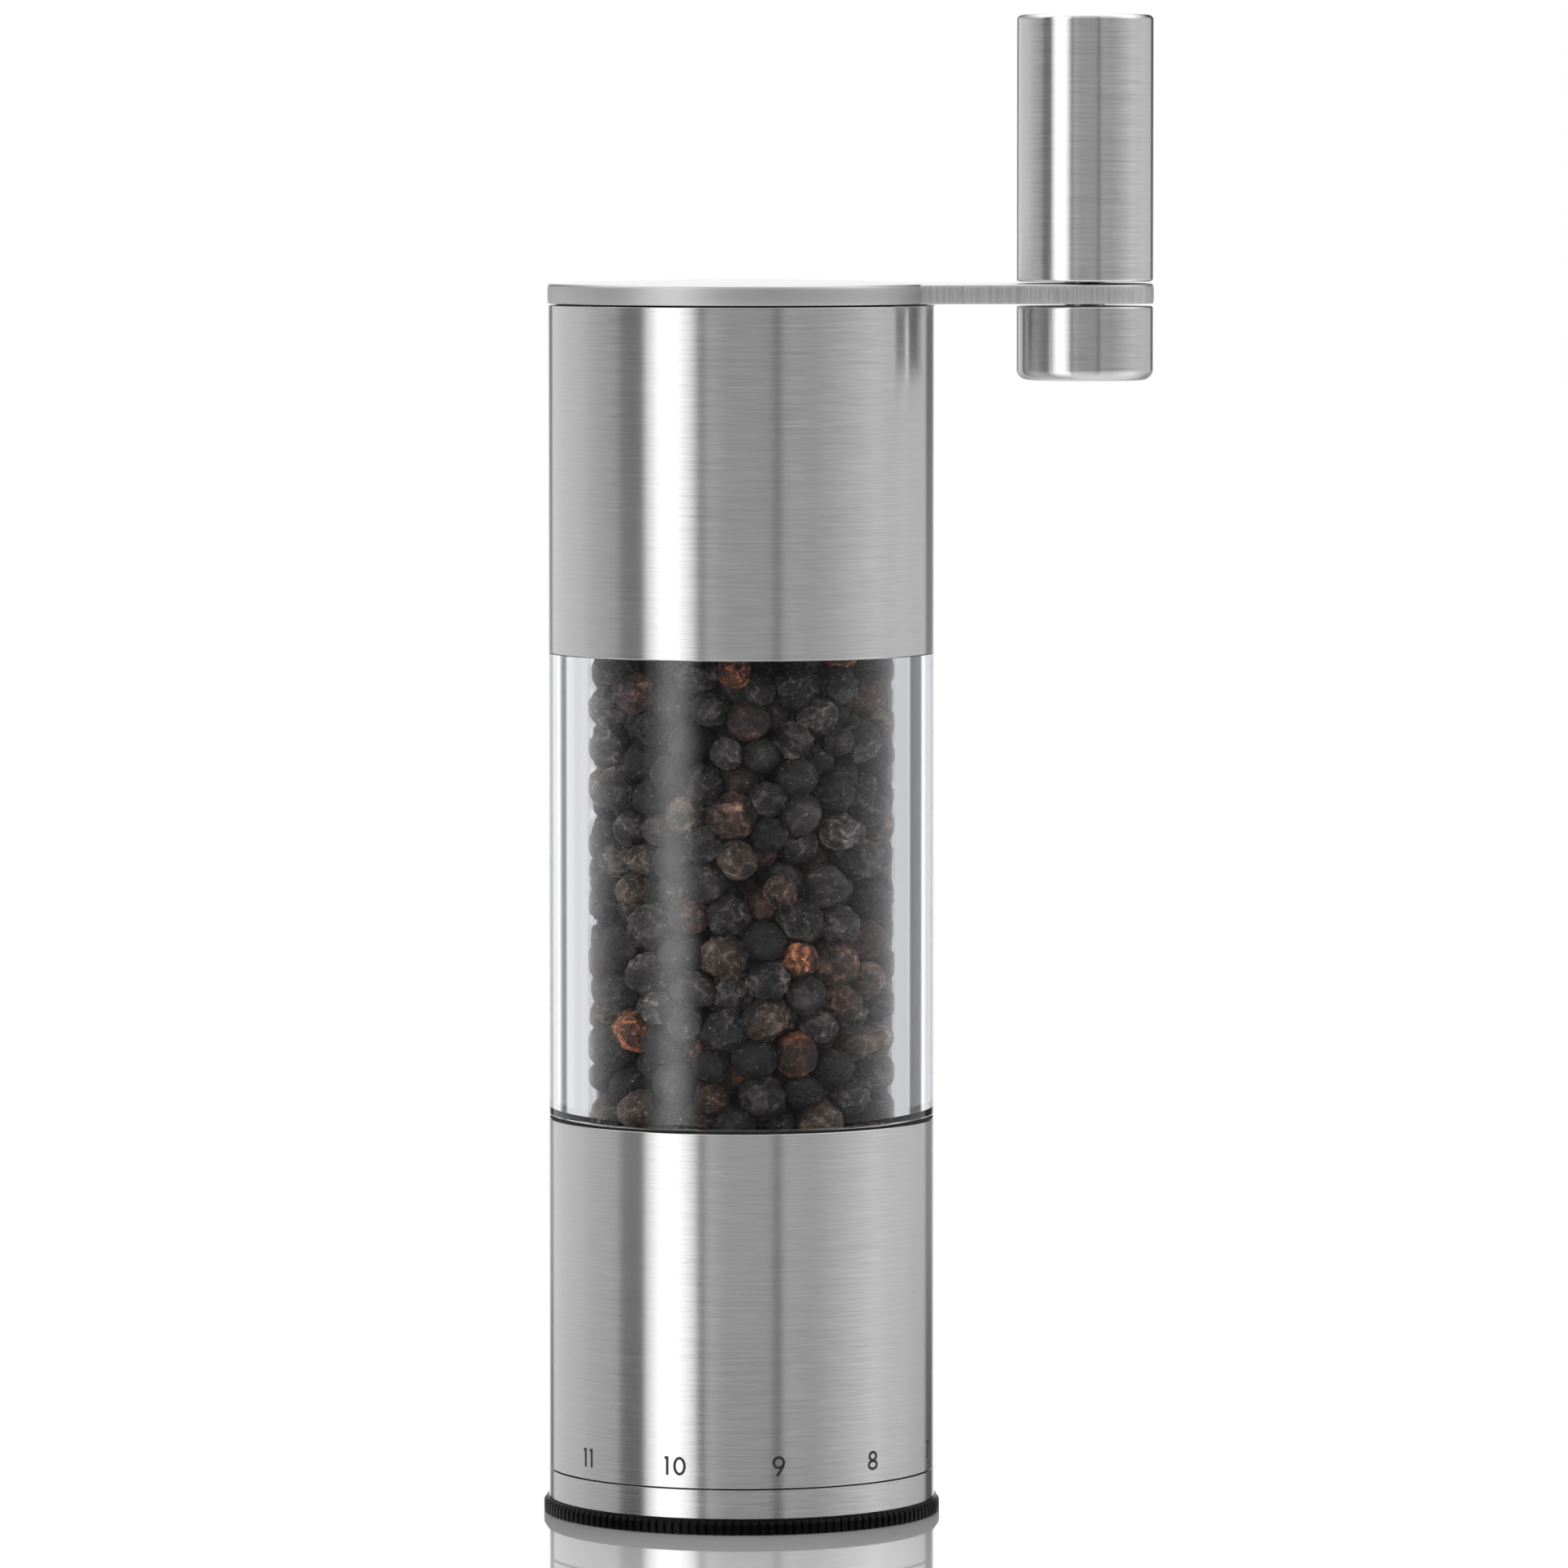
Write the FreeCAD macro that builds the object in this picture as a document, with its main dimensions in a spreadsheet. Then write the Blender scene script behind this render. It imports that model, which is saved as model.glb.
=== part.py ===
"""A crank pepper mill: steel sleeves on a clear acrylic tube, a crank lid with a turning grip,
a square drive shaft, a ceramic burr set and an adjusting ring with eleven settings.

Frame: millimetres, +Z up, origin on the mill's axis at the surface it stands on, crank towards +X.
Every sketch uses heights above its own piece's base, and the piece's Placement lifts it there.
"""

import FreeCAD, Part
import math
import os
import Sketcher

Vector = FreeCAD.Vector
WHOLE_TURN = 360
SCREWS = 3
KEYS = 2
TEETH = 24
FLUTES = 6

SIZES = [
    ("body_radius", 24.0, "outside of the steel sleeves"),
    ("sleeve_wall", 0.8, "steel sleeve thickness"),
    ("edge_round", 0.15, "rounding of the sleeves' rims"),
    ("glue_gap", 0.1, "radial room between a sleeve and what it is bonded to"),
    ("run_gap", 0.3, "clearance between pieces that move past each other"),
    ("knurl_radius", 24.6, "outside of the knurled ring's ribs"),
    ("knurl_depth", 0.35, "depth of the grooves between the ribs"),
    ("knurl_height", 1.9, "visible height of the knurled ring"),
    ("knurl_count", 144.0, "ribs round the knurled ring"),
    ("ring_top", 5.5, "top of the steel adjusting ring"),
    ("ring_wall", 1.1, "steel adjusting ring thickness"),
    ("lower_base", 5.7, "bottom of the lower sleeve"),
    ("lower_top", 49.2, "top of the lower sleeve"),
    ("window_base", 49.5, "bottom of the clear window"),
    ("window_top", 107.0, "top of the clear window"),
    ("window_radius", 23.95, "outside of the clear window"),
    ("bore_radius", 19.1, "inside of the clear tube"),
    ("spigot_depth", 12.0, "how far the clear tube reaches into each sleeve"),
    ("upper_top", 149.95, "top of the upper sleeve"),
    ("lid_base", 150.15, "underside of the crank plate"),
    ("lid_thick", 2.45, "thickness of the crank plate"),
    ("lid_dome", 0.45, "rise of the lid's crown"),
    ("lid_round", 0.4, "rounding of the crank plate's top edge"),
    ("crank_length", 42.5, "from the mill's axis to the grip's axis"),
    ("arm_root", 9.2, "half the arm's width where it leaves the lid"),
    ("arm_tip", 8.55, "radius of the arm's round end"),
    ("grip_radius", 8.5, "outside of the grip"),
    ("grip_base", 152.85, "bottom of the grip"),
    ("grip_top", 185.75, "top of the grip"),
    ("grip_wall", 0.9, "grip shell thickness"),
    ("grip_round", 0.6, "rounding of the grip's edges"),
    ("stub_base", 140.65, "bottom of the stub under the arm"),
    ("stub_top", 149.85, "top of the stub under the arm"),
    ("stub_round", 1.3, "rounding of the stub's bottom edge"),
    ("spindle_radius", 2.5, "grip spindle in its bush"),
    ("spindle_thread", 2.0, "grip spindle's threaded ends"),
    ("pin_gap", 0.05, "radial clearance of a spindle in its bush"),
    ("bush_radius", 4.0, "outside of the two bushes"),
    ("shaft_side", 4.5, "side of the square drive shaft"),
    ("shaft_base", 7.2, "bottom of the drive shaft"),
    ("shaft_top", 146.8, "top of the drive shaft"),
    ("neck_radius", 2.25, "drive shaft in the clip's groove"),
    ("socket_side", 4.7, "side of the square holes that the shaft enters"),
    ("socket_base", 137.0, "bottom of the lid's square socket"),
    ("plug_base", 140.5, "bottom of the lid plug's skirt"),
    ("plug_disc", 147.4, "underside of the lid plug's disc"),
    ("seal_height", 144.0, "middle of the lid's seal ring"),
    ("seal_thick", 0.8, "lid seal ring section"),
    ("nut_radius", 17.5, "outside of the adjusting nut's tube"),
    ("nut_top", 12.0, "top of the adjusting nut's tube"),
    ("thread_radius", 15.1, "outside of the stator carrier"),
    ("skirt_radius", 20.9, "outside of the housing's skirt"),
    ("skirt_base", 3.9, "bottom of the housing's skirt"),
    ("housing_step", 12.0, "where the housing fills the sleeve"),
    ("housing_top", 37.2, "top of the housing's hopper"),
    ("shelf_height", 25.5, "shelf that carries the bearing spider"),
    ("shelf_radius", 16.3, "outside of that shelf"),
    ("throat_radius", 12.6, "the way from the hopper to the burrs"),
    ("carrier_base", 5.9, "bottom of the stator carrier"),
    ("carrier_top", 20.5, "top of the stator carrier"),
    ("burr_base", 8.3, "bottom of the ceramic stator"),
    ("burr_top", 17.5, "top of the ceramic stator"),
    ("burr_taper", 0.3333, "radius lost for each unit of height in the grinding zone"),
    ("rotor_base", 7.9, "bottom of the ceramic rotor"),
    ("rotor_top", 18.5, "top of the ceramic rotor"),
    ("zone_height", 3.0, "height of the grinding zone"),
    ("spring_radius", 4.0, "mean radius of the rotor spring"),
    ("spring_wire", 0.6, "rotor spring wire"),
    ("charge_top", 112.0, "how high the peppercorns are filled"),
    ("press_gap", 0.05, "room round a piece that is pressed or glued in"),
    ("spider_pitch", 14.4, "from the mill's axis to the spider's screws"),
    ("ring_pitch", 19.1, "from the mill's axis to the adjusting ring's screws"),
    ("lid_pitch", 12.0, "from the mill's axis to the lid's screws"),
    ("screw_radius", 0.95, "spider and ring screws"),
    ("screw_bore", 1.0, "the holes that those screws enter"),
    ("lid_screw", 1.2, "lid screws"),
    ("head_radius", 1.7, "screw heads at their base"),
    ("rotor_screw", 1.2, "rotor screw"),
    ("hub_radius", 6.2, "outside of the spider's hub"),
    ("spider_arm", 2.4, "width of the spider's arms"),
    ("key_width", 3.0, "width of the stator carrier's keys"),
    ("key_height", 5.0, "height of those keys"),
    ("slot_width", 3.8, "width of the housing's slots for the keys"),
    ("clip_height", 0.6, "thickness of the shaft clip"),
    ("clip_radius", 4.9, "outside of the shaft clip"),
    ("jaw_width", 3.2, "width of the shaft clip's opening"),
    ("clip_rise", 4.6, "from the spider's shelf to the shaft clip"),
    ("shaft_tap", 8.0, "depth of the rotor screw's hole in the shaft"),
    ("groove_depth", 0.9, "depth of the housing's ring groove"),
    ("friction_section", 1.0, "section of the friction ring and height of its groove"),
    ("ring_mouth", 11.0, "bore of the ceramic stator at its base"),
    ("rotor_foot", 10.4, "outside of the ceramic rotor at its base"),
    ("rotor_bore", 4.75, "bore of the ceramic rotor"),
    ("core_flange", 8.0, "flange of the rotor's core"),
    ("spring_pitch", 1.3, "rise of the rotor spring in each turn"),
    ("plug_wall", 2.0, "wall of the lid plug's skirt"),
    ("plug_hub", 7.0, "outside of the lid plug's hub"),
    ("socket_radius", 4.6, "bore of that hub, which the steel socket fills"),
    ("spindle_bore", 13.0, "how far the spindle enters the grip"),
    ("groove_mouth", 0.6, "width of a knurled groove at the ribs' tops"),
    ("groove_floor", 0.24, "width of a knurled groove at its floor"),
]


class Size:
    """A length and the spreadsheet expression that it comes from, kept in step by arithmetic."""

    def __init__(self, value, text=None):
        self.value = value
        self.text = text or repr(value)

    def combine(self, sign, other):
        other = other if isinstance(other, Size) else Size(other)
        results = {
            "+": self.value + other.value,
            "-": self.value - other.value,
            "*": self.value * other.value,
        }
        return Size(results[sign], f"({self.text} {sign} {other.text})")

    def __add__(self, other):
        return self.combine("+", other)

    def __sub__(self, other):
        return self.combine("-", other)

    def __mul__(self, other):
        return self.combine("*", other)

    def __neg__(self):
        return Size(-self.value, f"(-{self.text})")


def fill_sheet(doc):
    """Writes the driving dimensions and returns them as Sizes, by alias."""
    sheet = doc.addObject("Spreadsheet::Sheet", "Dims")
    for row, (alias, value, note) in enumerate(SIZES, start=1):
        sheet.set(f"A{row}", alias)
        sheet.set(f"B{row}", str(value))
        sheet.setAlias(f"B{row}", alias)
        sheet.set(f"C{row}", note)
    doc.recompute()
    return {alias: Size(sheet.get(alias), f"Dims.{alias}") for alias, _, _ in SIZES}


doc = FreeCAD.newDocument("pepper_mill")
d = fill_sheet(doc)
ZERO = Size(0.0)
sleeve_inside = d["body_radius"] - d["sleeve_wall"]
bonded_radius = sleeve_inside - d["glue_gap"]
moving_bore = d["thread_radius"] + d["run_gap"]
subparts = []


# ---------------------------------------------------------------- building blocks


def bind(thing, prop, size):
    """Binds one property of an object to the size's expression."""
    thing.setExpression(prop, size.text)


def keep(thing, label):
    """Names a finished sub-part and adds it to those that are written out."""
    thing.Label = label
    subparts.append(thing)
    return thing


def origin_feature(body, role):
    return next(f for f in body.Origin.OriginFeatures if f.Role == role)


def new_body(name, base=ZERO, offset=ZERO):
    """An empty body whose Placement stands it at a height, and at an offset towards +X."""
    body = doc.addObject("PartDesign::Body", name)
    bind(body, "Placement.Base.z", base)
    bind(body, "Placement.Base.x", offset)
    return body


def new_sketch(body, name, role):
    sketch = body.newObject("Sketcher::SketchObject", name)
    sketch.AttachmentSupport = [(origin_feature(body, role), "")]
    sketch.MapMode = "FlatFace"
    return sketch


def pin_point(sketch, line, end, across, along):
    """Ties one end of a line to the sketch's origin by two bound distances."""
    for kind, axis, size in (("DistanceX", -2, across), ("DistanceY", -1, along)):
        if abs(size.value) < 1e-9:
            sketch.addConstraint(Sketcher.Constraint("PointOnObject", line, end, axis))
            continue
        index = sketch.addConstraint(Sketcher.Constraint(kind, -1, 1, line, end, size.value))
        bind(sketch, f"Constraints[{index}]", size)


def closed_outline(sketch, points):
    """Straight lines through points, each a pair of Sizes, tied to the sketch's origin."""
    vectors = [Vector(across.value, along.value, 0) for across, along in points]
    lines = []
    for start, end in zip(vectors, vectors[1:] + vectors[:1]):
        lines.append(sketch.addGeometry(Part.LineSegment(start, end)))
    for line, following in zip(lines, lines[1:] + lines[:1]):
        sketch.addConstraint(Sketcher.Constraint("Coincident", line, 2, following, 1))
    for line, (across, along) in zip(lines, points):
        pin_point(sketch, line, 1, across, along)


def bound_circle(sketch, radius, across=ZERO, along=ZERO):
    circle = Part.Circle(Vector(across.value, along.value, 0), Vector(0, 0, 1), radius.value)
    index = sketch.addGeometry(circle)
    pin_point(sketch, index, 3, across, along)
    constraint = sketch.addConstraint(Sketcher.Constraint("Radius", index, radius.value))
    bind(sketch, f"Constraints[{constraint}]", radius)


def square(side):
    """The four corners of a square about the origin."""
    half = side * 0.5
    return [(-half, -half), (half, -half), (half, half), (-half, half)]


def wedge(near, near_half, far, far_half):
    """The corners of a notch about the X axis, given its half widths at two distances."""
    return [(near, -near_half), (far, -far_half), (far, far_half), (near, near_half)]


def round_rims(body, rims):
    """Rounds circular edges, each given by its radius, its height and the rounding."""
    for radius, height, rounding in rims:
        doc.recompute()
        sharp = body.Tip
        names = []
        for number, edge in enumerate(sharp.Shape.Edges, start=1):
            curve = edge.Curve
            if not isinstance(curve, Part.Circle):
                continue
            same_radius = abs(curve.Radius - radius.value) < 1e-4
            same_height = abs(curve.Center.z - height.value) < 1e-4
            if same_radius and same_height:
                names.append(f"Edge{number}")
        fillet = body.newObject("PartDesign::Fillet", "rim_round")
        fillet.Base = (sharp, names)
        bind(fillet, "Radius", rounding)


def turned(label, base, outline, rims=(), offset=ZERO):
    """A turned piece: an outline of (radius, height) pairs swept once round its own axis."""
    body = new_body(label, base, offset)
    sketch = new_sketch(body, "outline", "XZ_Plane")
    closed_outline(sketch, [(radius, height - base) for radius, height in outline])
    turn = body.newObject("PartDesign::Revolution", "turn")
    turn.Profile = sketch
    turn.ReferenceAxis = (sketch, ["V_Axis"])
    turn.Angle = WHOLE_TURN
    sketch.Visibility = False
    round_rims(body, [(radius, height - base, rounding) for radius, height, rounding in rims])
    return keep(body, label)


def tube(label, inner, outer, base, top, rims=(), offset=ZERO):
    outline = [(inner, base), (outer, base), (outer, top), (inner, top)]
    return turned(label, base, outline, rims, offset)


def cut(body, name, draw, start=ZERO, length=None):
    """Pockets what draw puts in a sketch, upwards from start, and checks that it removed material."""
    doc.recompute()
    before = body.Shape.Volume
    sketch = new_sketch(body, f"{name}_sketch", "XY_Plane")
    bind(sketch, "AttachmentOffset.Base.z", start)
    draw(sketch)
    pocket = body.newObject("PartDesign::Pocket", name)
    pocket.Profile = sketch
    pocket.Reversed = True
    if length is None:
        pocket.Type = "ThroughAll"
    else:
        bind(pocket, "Length", length)
    sketch.Visibility = False
    body.Tip = pocket
    doc.recompute()
    if body.Shape.Volume >= before:
        raise RuntimeError(f"{body.Label}: {name} removed nothing")
    return pocket


def repeat_round(body, feature, count):
    """Repeats a feature evenly about the body's own Z axis."""
    pattern = body.newObject("PartDesign::PolarPattern", "around")
    pattern.Originals = [feature]
    pattern.Axis = (origin_feature(body, "Z_Axis"), [""])
    pattern.Angle = WHOLE_TURN
    pattern.Occurrences = count
    body.Tip = pattern
    return pattern


def hole_ring(body, name, radius, pitch_radius, start=ZERO, length=None):
    """Round holes evenly about the axis, the first towards +X."""
    hole = cut(body, name, lambda s: bound_circle(s, radius, pitch_radius), start, length)
    repeat_round(body, hole, SCREWS)


def screw_group(label, pitch_radius, stages):
    """Screws evenly about the mill's axis. A stage is (low radius, high radius, low, high)."""
    screws = []
    for number in range(SCREWS):
        angle = 2 * math.pi * number / SCREWS
        pieces = []
        for low_radius, high_radius, low, high in stages:
            if low_radius.text == high_radius.text:
                piece = doc.addObject("Part::Cylinder", f"{label}_shank")
                bind(piece, "Radius", low_radius)
            else:
                piece = doc.addObject("Part::Cone", f"{label}_head")
                bind(piece, "Radius1", low_radius)
                bind(piece, "Radius2", high_radius)
            bind(piece, "Height", high - low)
            bind(piece, "Placement.Base.x", pitch_radius * math.cos(angle))
            bind(piece, "Placement.Base.y", pitch_radius * math.sin(angle))
            bind(piece, "Placement.Base.z", low)
            pieces.append(piece)
        screw = doc.addObject("Part::MultiFuse", f"{label}_one")
        screw.Shapes = pieces
        screws.append(screw)
    group = doc.addObject("Part::Compound", label)
    group.Links = screws
    return keep(group, label)


def ring_of_round_section(label, mean_radius, thickness, height):
    torus = doc.addObject("Part::Torus", label)
    bind(torus, "Radius1", mean_radius)
    bind(torus, "Radius2", thickness * 0.5)
    bind(torus, "Placement.Base.z", height)
    return keep(torus, label)


# ---------------------------------------------------------------- casing


def make_sleeves():
    for label, base, top in (
        ("upper_sleeve", d["window_top"], d["upper_top"]),
        ("lower_sleeve", d["lower_base"], d["lower_top"]),
    ):
        rims = [
            (d["body_radius"], base, d["edge_round"]),
            (d["body_radius"], top, d["edge_round"]),
        ]
        tube(label, sleeve_inside, d["body_radius"], base, top, rims)


def make_window():
    """The clear tube, turned down at both ends to enter the sleeves, on a thin rubber gasket."""
    foot = d["window_base"] - d["spigot_depth"]
    head = d["window_top"] + d["spigot_depth"]
    outline = [
        (d["bore_radius"], foot),
        (bonded_radius, foot),
        (bonded_radius, d["window_base"]),
        (d["window_radius"], d["window_base"]),
        (d["window_radius"], d["window_top"]),
        (bonded_radius, d["window_top"]),
        (bonded_radius, head),
        (d["bore_radius"], head),
    ]
    rims = [(d["window_radius"], d["window_base"], d["edge_round"] * 2)]
    turned("acrylic_tube", foot, outline, rims)
    tube(
        "window_gasket",
        bonded_radius + d["press_gap"],
        d["window_radius"] - 0.15,
        d["lower_top"],
        d["window_base"],
    )


def make_filler_collar():
    """The plastic lining of the upper sleeve, with a lead-in for the lid's plug."""
    base = d["window_top"] + d["spigot_depth"]
    top = d["upper_top"] - 0.3
    lead_in = 0.8
    outline = [
        (d["bore_radius"], base),
        (bonded_radius, base),
        (bonded_radius, top),
        (d["bore_radius"] + lead_in, top),
        (d["bore_radius"], top - lead_in),
    ]
    turned("filler_collar", base, outline)


def make_housing():
    """The plastic housing: hopper above, shelf for the bearing, slotted bore for the carrier."""
    cavity = d["nut_radius"] + d["run_gap"] + 0.1
    neck = d["skirt_radius"] - 0.7
    groove_base = d["skirt_base"] + 1.6
    groove_top = groove_base + d["friction_section"]
    groove_floor = d["skirt_radius"] - d["groove_depth"]
    ledge = d["housing_step"] - 1.9
    ceiling = d["shelf_height"] - 3.0
    outline = [
        (cavity, d["skirt_base"]),
        (d["skirt_radius"], d["skirt_base"]),
        (d["skirt_radius"], groove_base),
        (groove_floor, groove_base),
        (groove_floor, groove_top),
        (d["skirt_radius"], groove_top),
        (d["skirt_radius"], ledge),
        (neck, ledge),
        (neck, d["housing_step"]),
        (bonded_radius, d["housing_step"]),
        (bonded_radius, d["housing_top"]),
        (d["bore_radius"], d["housing_top"]),
        (d["shelf_radius"], d["shelf_height"] + 5.5),
        (d["shelf_radius"], d["shelf_height"]),
        (d["throat_radius"], d["shelf_height"]),
        (d["throat_radius"], ceiling),
        (moving_bore, ceiling),
        (moving_bore, d["nut_top"] + d["run_gap"]),
        (cavity, d["nut_top"] + d["run_gap"]),
    ]
    body = turned("grinder_housing", d["skirt_base"], outline)
    slot_half = d["slot_width"] * 0.5
    slot_reach = moving_bore + 2.0
    corners = wedge(-slot_reach, slot_half, slot_reach, slot_half)
    slot_start = d["carrier_top"] - d["key_height"] - 1.5 - d["skirt_base"]
    slot_length = ceiling - d["skirt_base"] - slot_start
    cut(body, "key_slots", lambda s: closed_outline(s, corners), slot_start, slot_length)
    screw_start = ceiling + 0.3 - d["skirt_base"]
    hole_ring(
        body, "spider_screw_holes", d["screw_bore"], d["spider_pitch"], screw_start, Size(3.0)
    )
    ring_of_round_section(
        "friction_o_ring",
        groove_floor + d["friction_section"] * 0.5 + d["press_gap"],
        d["friction_section"],
        (groove_base + groove_top) * 0.5,
    )


def make_bearing_spider():
    """A rim on the housing's shelf, three arms and a hub that the shaft's bush turns in."""
    base = d["shelf_height"] - 1.0
    rim_top = d["shelf_height"] + 3.0
    body = new_body("bearing_spider", base)
    rim = new_sketch(body, "rim_sketch", "XY_Plane")
    bind(rim, "AttachmentOffset.Base.z", d["shelf_height"] - base)
    bound_circle(rim, d["shelf_radius"] - 0.1)
    bound_circle(rim, d["throat_radius"])
    rim_pad = body.newObject("PartDesign::Pad", "rim")
    rim_pad.Profile = rim
    bind(rim_pad, "Length", rim_top - d["shelf_height"])
    arm = new_sketch(body, "arm_sketch", "XY_Plane")
    bind(arm, "AttachmentOffset.Base.z", d["shelf_height"] - base)
    reach = d["throat_radius"] + 1.0
    half = d["spider_arm"] * 0.5
    closed_outline(arm, wedge(-reach, half, ZERO, half))
    arm_pad = body.newObject("PartDesign::Pad", "arm")
    arm_pad.Profile = arm
    bind(arm_pad, "Length", rim_top - d["shelf_height"])
    repeat_round(body, arm_pad, SCREWS)
    hub = new_sketch(body, "hub_sketch", "XY_Plane")
    bound_circle(hub, d["hub_radius"])
    hub_pad = body.newObject("PartDesign::Pad", "hub")
    hub_pad.Profile = hub
    bind(hub_pad, "Length", rim_top + 1.0 - base)
    body.Tip = hub_pad
    cut(body, "bearing", lambda s: bound_circle(s, d["bush_radius"] + d["pin_gap"]))
    hole_ring(body, "screw_holes", d["screw_bore"] + d["press_gap"], d["spider_pitch"])
    keep(body, "bearing_spider")
    shank = d["screw_radius"]
    screw_group(
        "spider_screws",
        d["spider_pitch"],
        [
            (shank, shank, d["shelf_height"] - 2.5, rim_top),
            (d["head_radius"], d["head_radius"] - 0.4, rim_top, rim_top + 1.0),
        ],
    )


def make_peppercorn_charge():
    """The peppercorns as one plain solid: the hopper, the tube and a little above the window."""
    room = d["bore_radius"] - 0.35
    base = d["shelf_height"] + d["clip_rise"] + 1.1
    core = d["shaft_side"] - d["run_gap"]
    outline = [
        (core, base),
        (d["shelf_radius"] - 0.4, base),
        (room, d["housing_top"] + 0.3),
        (room, d["charge_top"]),
        (core, d["charge_top"]),
    ]
    turned("peppercorn_charge", base, outline)


# ---------------------------------------------------------------- grind adjustment


def make_knurled_ring():
    """The black ring that the mill stands on, its ribs, and the wall that clips to the housing."""
    chamfer = 0.15
    rib_slope = 0.4
    clip_drop = 0.5
    lip = d["knurl_radius"] - d["knurl_depth"]
    wall_outer = sleeve_inside - d["run_gap"]
    wall_inner = d["skirt_radius"] + 0.4
    bead = d["skirt_radius"] - d["run_gap"]
    clip_top = d["housing_step"] - clip_drop
    clip_base = clip_top - 1.0
    outline = [
        (d["nut_radius"], ZERO),
        (d["knurl_radius"] - chamfer, ZERO),
        (d["knurl_radius"], Size(chamfer)),
        (d["knurl_radius"], d["knurl_height"] - rib_slope),
        (lip, d["knurl_height"] - 0.1),
        (lip, d["knurl_height"]),
        (wall_outer, d["knurl_height"]),
        (wall_outer, clip_top),
        (bead, clip_top),
        (bead, clip_base),
        (wall_inner, clip_base - clip_drop),
        (wall_inner, d["knurl_height"]),
        (d["nut_radius"], d["knurl_height"]),
    ]
    body = turned("knurled_base_ring", ZERO, outline)
    hole_ring(body, "screw_holes", d["screw_bore"], d["ring_pitch"])
    beyond = d["knurl_radius"] + 0.3
    groove = wedge(lip, d["groove_floor"] * 0.5, beyond, d["groove_mouth"] * 0.5)
    notch = cut(body, "knurl_groove", lambda s: closed_outline(s, groove), ZERO, d["knurl_height"])
    repeat_round(body, notch, int(d["knurl_count"].value))


def make_adjusting_ring():
    rims = [
        (d["body_radius"], d["knurl_height"], d["edge_round"]),
        (d["body_radius"], d["ring_top"], d["edge_round"] * 0.5),
    ]
    tube(
        "adjusting_ring_shell",
        d["body_radius"] - d["ring_wall"],
        d["body_radius"],
        d["knurl_height"],
        d["ring_top"],
        rims,
    )
    head_base = Size(0.3)
    head_top = head_base + 0.5
    base = head_base + 0.1
    flange_top = d["knurl_height"] + 1.5
    flange_radius = d["skirt_radius"] - 0.2
    outline = [
        (moving_bore, base),
        (d["nut_radius"], base),
        (d["nut_radius"], d["knurl_height"]),
        (flange_radius, d["knurl_height"]),
        (flange_radius, flange_top),
        (d["nut_radius"], flange_top),
        (d["nut_radius"], d["nut_top"]),
        (moving_bore, d["nut_top"]),
    ]
    nut = turned("adjusting_nut", base, outline)
    hole_ring(nut, "screw_holes", d["screw_bore"], d["ring_pitch"])
    shank = d["screw_radius"]
    screw_group(
        "ring_screws",
        d["ring_pitch"],
        [(shank, shank + 0.03, head_base, head_top), (shank, shank, head_top, flange_top)],
    )


def make_stator():
    """The carrier with two keys that stop it turning, and the ceramic outer burr in it."""
    seat = d["throat_radius"] + 0.1
    lip = seat - 0.8
    outline = [
        (lip, d["carrier_base"]),
        (d["thread_radius"], d["carrier_base"]),
        (d["thread_radius"], d["carrier_top"]),
        (seat, d["carrier_top"]),
        (seat, d["burr_base"]),
        (lip, d["burr_base"]),
    ]
    carrier = turned("stator_carrier", d["carrier_base"], outline)
    keys = new_sketch(carrier, "key_sketch", "XY_Plane")
    key_base = d["carrier_top"] - d["key_height"] - d["carrier_base"]
    bind(keys, "AttachmentOffset.Base.z", key_base)
    half = d["key_width"] * 0.5
    closed_outline(keys, wedge(seat + 0.5, half, d["thread_radius"] + 1.9, half))
    key_pad = carrier.newObject("PartDesign::Pad", "key")
    key_pad.Profile = keys
    bind(key_pad, "Length", d["key_height"])
    repeat_round(carrier, key_pad, KEYS)

    mouth = d["ring_mouth"]
    throat = mouth - d["burr_taper"] * d["zone_height"].value
    zone_top = d["burr_base"] + d["zone_height"]
    burr = turned(
        "ceramic_stator",
        d["burr_base"],
        [
            (mouth, d["burr_base"]),
            (seat - d["press_gap"], d["burr_base"]),
            (seat - d["press_gap"], d["burr_top"]),
            (throat + 1.6, d["burr_top"]),
            (throat, zone_top),
        ],
    )
    tooth = wedge(throat - 0.5, Size(0.1), mouth + 0.4, Size(0.45))
    repeat_round(burr, cut(burr, "tooth_gap", lambda s: closed_outline(s, tooth)), TEETH)


# ---------------------------------------------------------------- drive train


def make_shaft():
    body = new_body("drive_shaft", d["shaft_base"])
    sketch = new_sketch(body, "section", "XY_Plane")
    closed_outline(sketch, square(d["shaft_side"]))
    bar = body.newObject("PartDesign::Pad", "bar")
    bar.Profile = sketch
    bind(bar, "Length", d["shaft_top"] - d["shaft_base"])
    screw_bore = d["rotor_screw"] + d["press_gap"]
    cut(body, "screw_hole", lambda s: bound_circle(s, screw_bore), ZERO, d["shaft_tap"])
    clip_base = d["shelf_height"] + d["clip_rise"]

    def ring_of_corners(groove_sketch):
        bound_circle(groove_sketch, d["neck_radius"])
        bound_circle(groove_sketch, d["shaft_side"])

    cut(body, "clip_groove", ring_of_corners, clip_base - d["shaft_base"], d["clip_height"])
    keep(body, "drive_shaft")

    clip_top = clip_base + d["clip_height"]
    clip = tube("shaft_clip", d["neck_radius"], d["clip_radius"], clip_base, clip_top)
    half_jaw = d["jaw_width"] * 0.5
    jaw = wedge(ZERO, half_jaw, d["clip_radius"] + 1.1, half_jaw)
    cut(clip, "jaw", lambda s: closed_outline(s, jaw))


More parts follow.
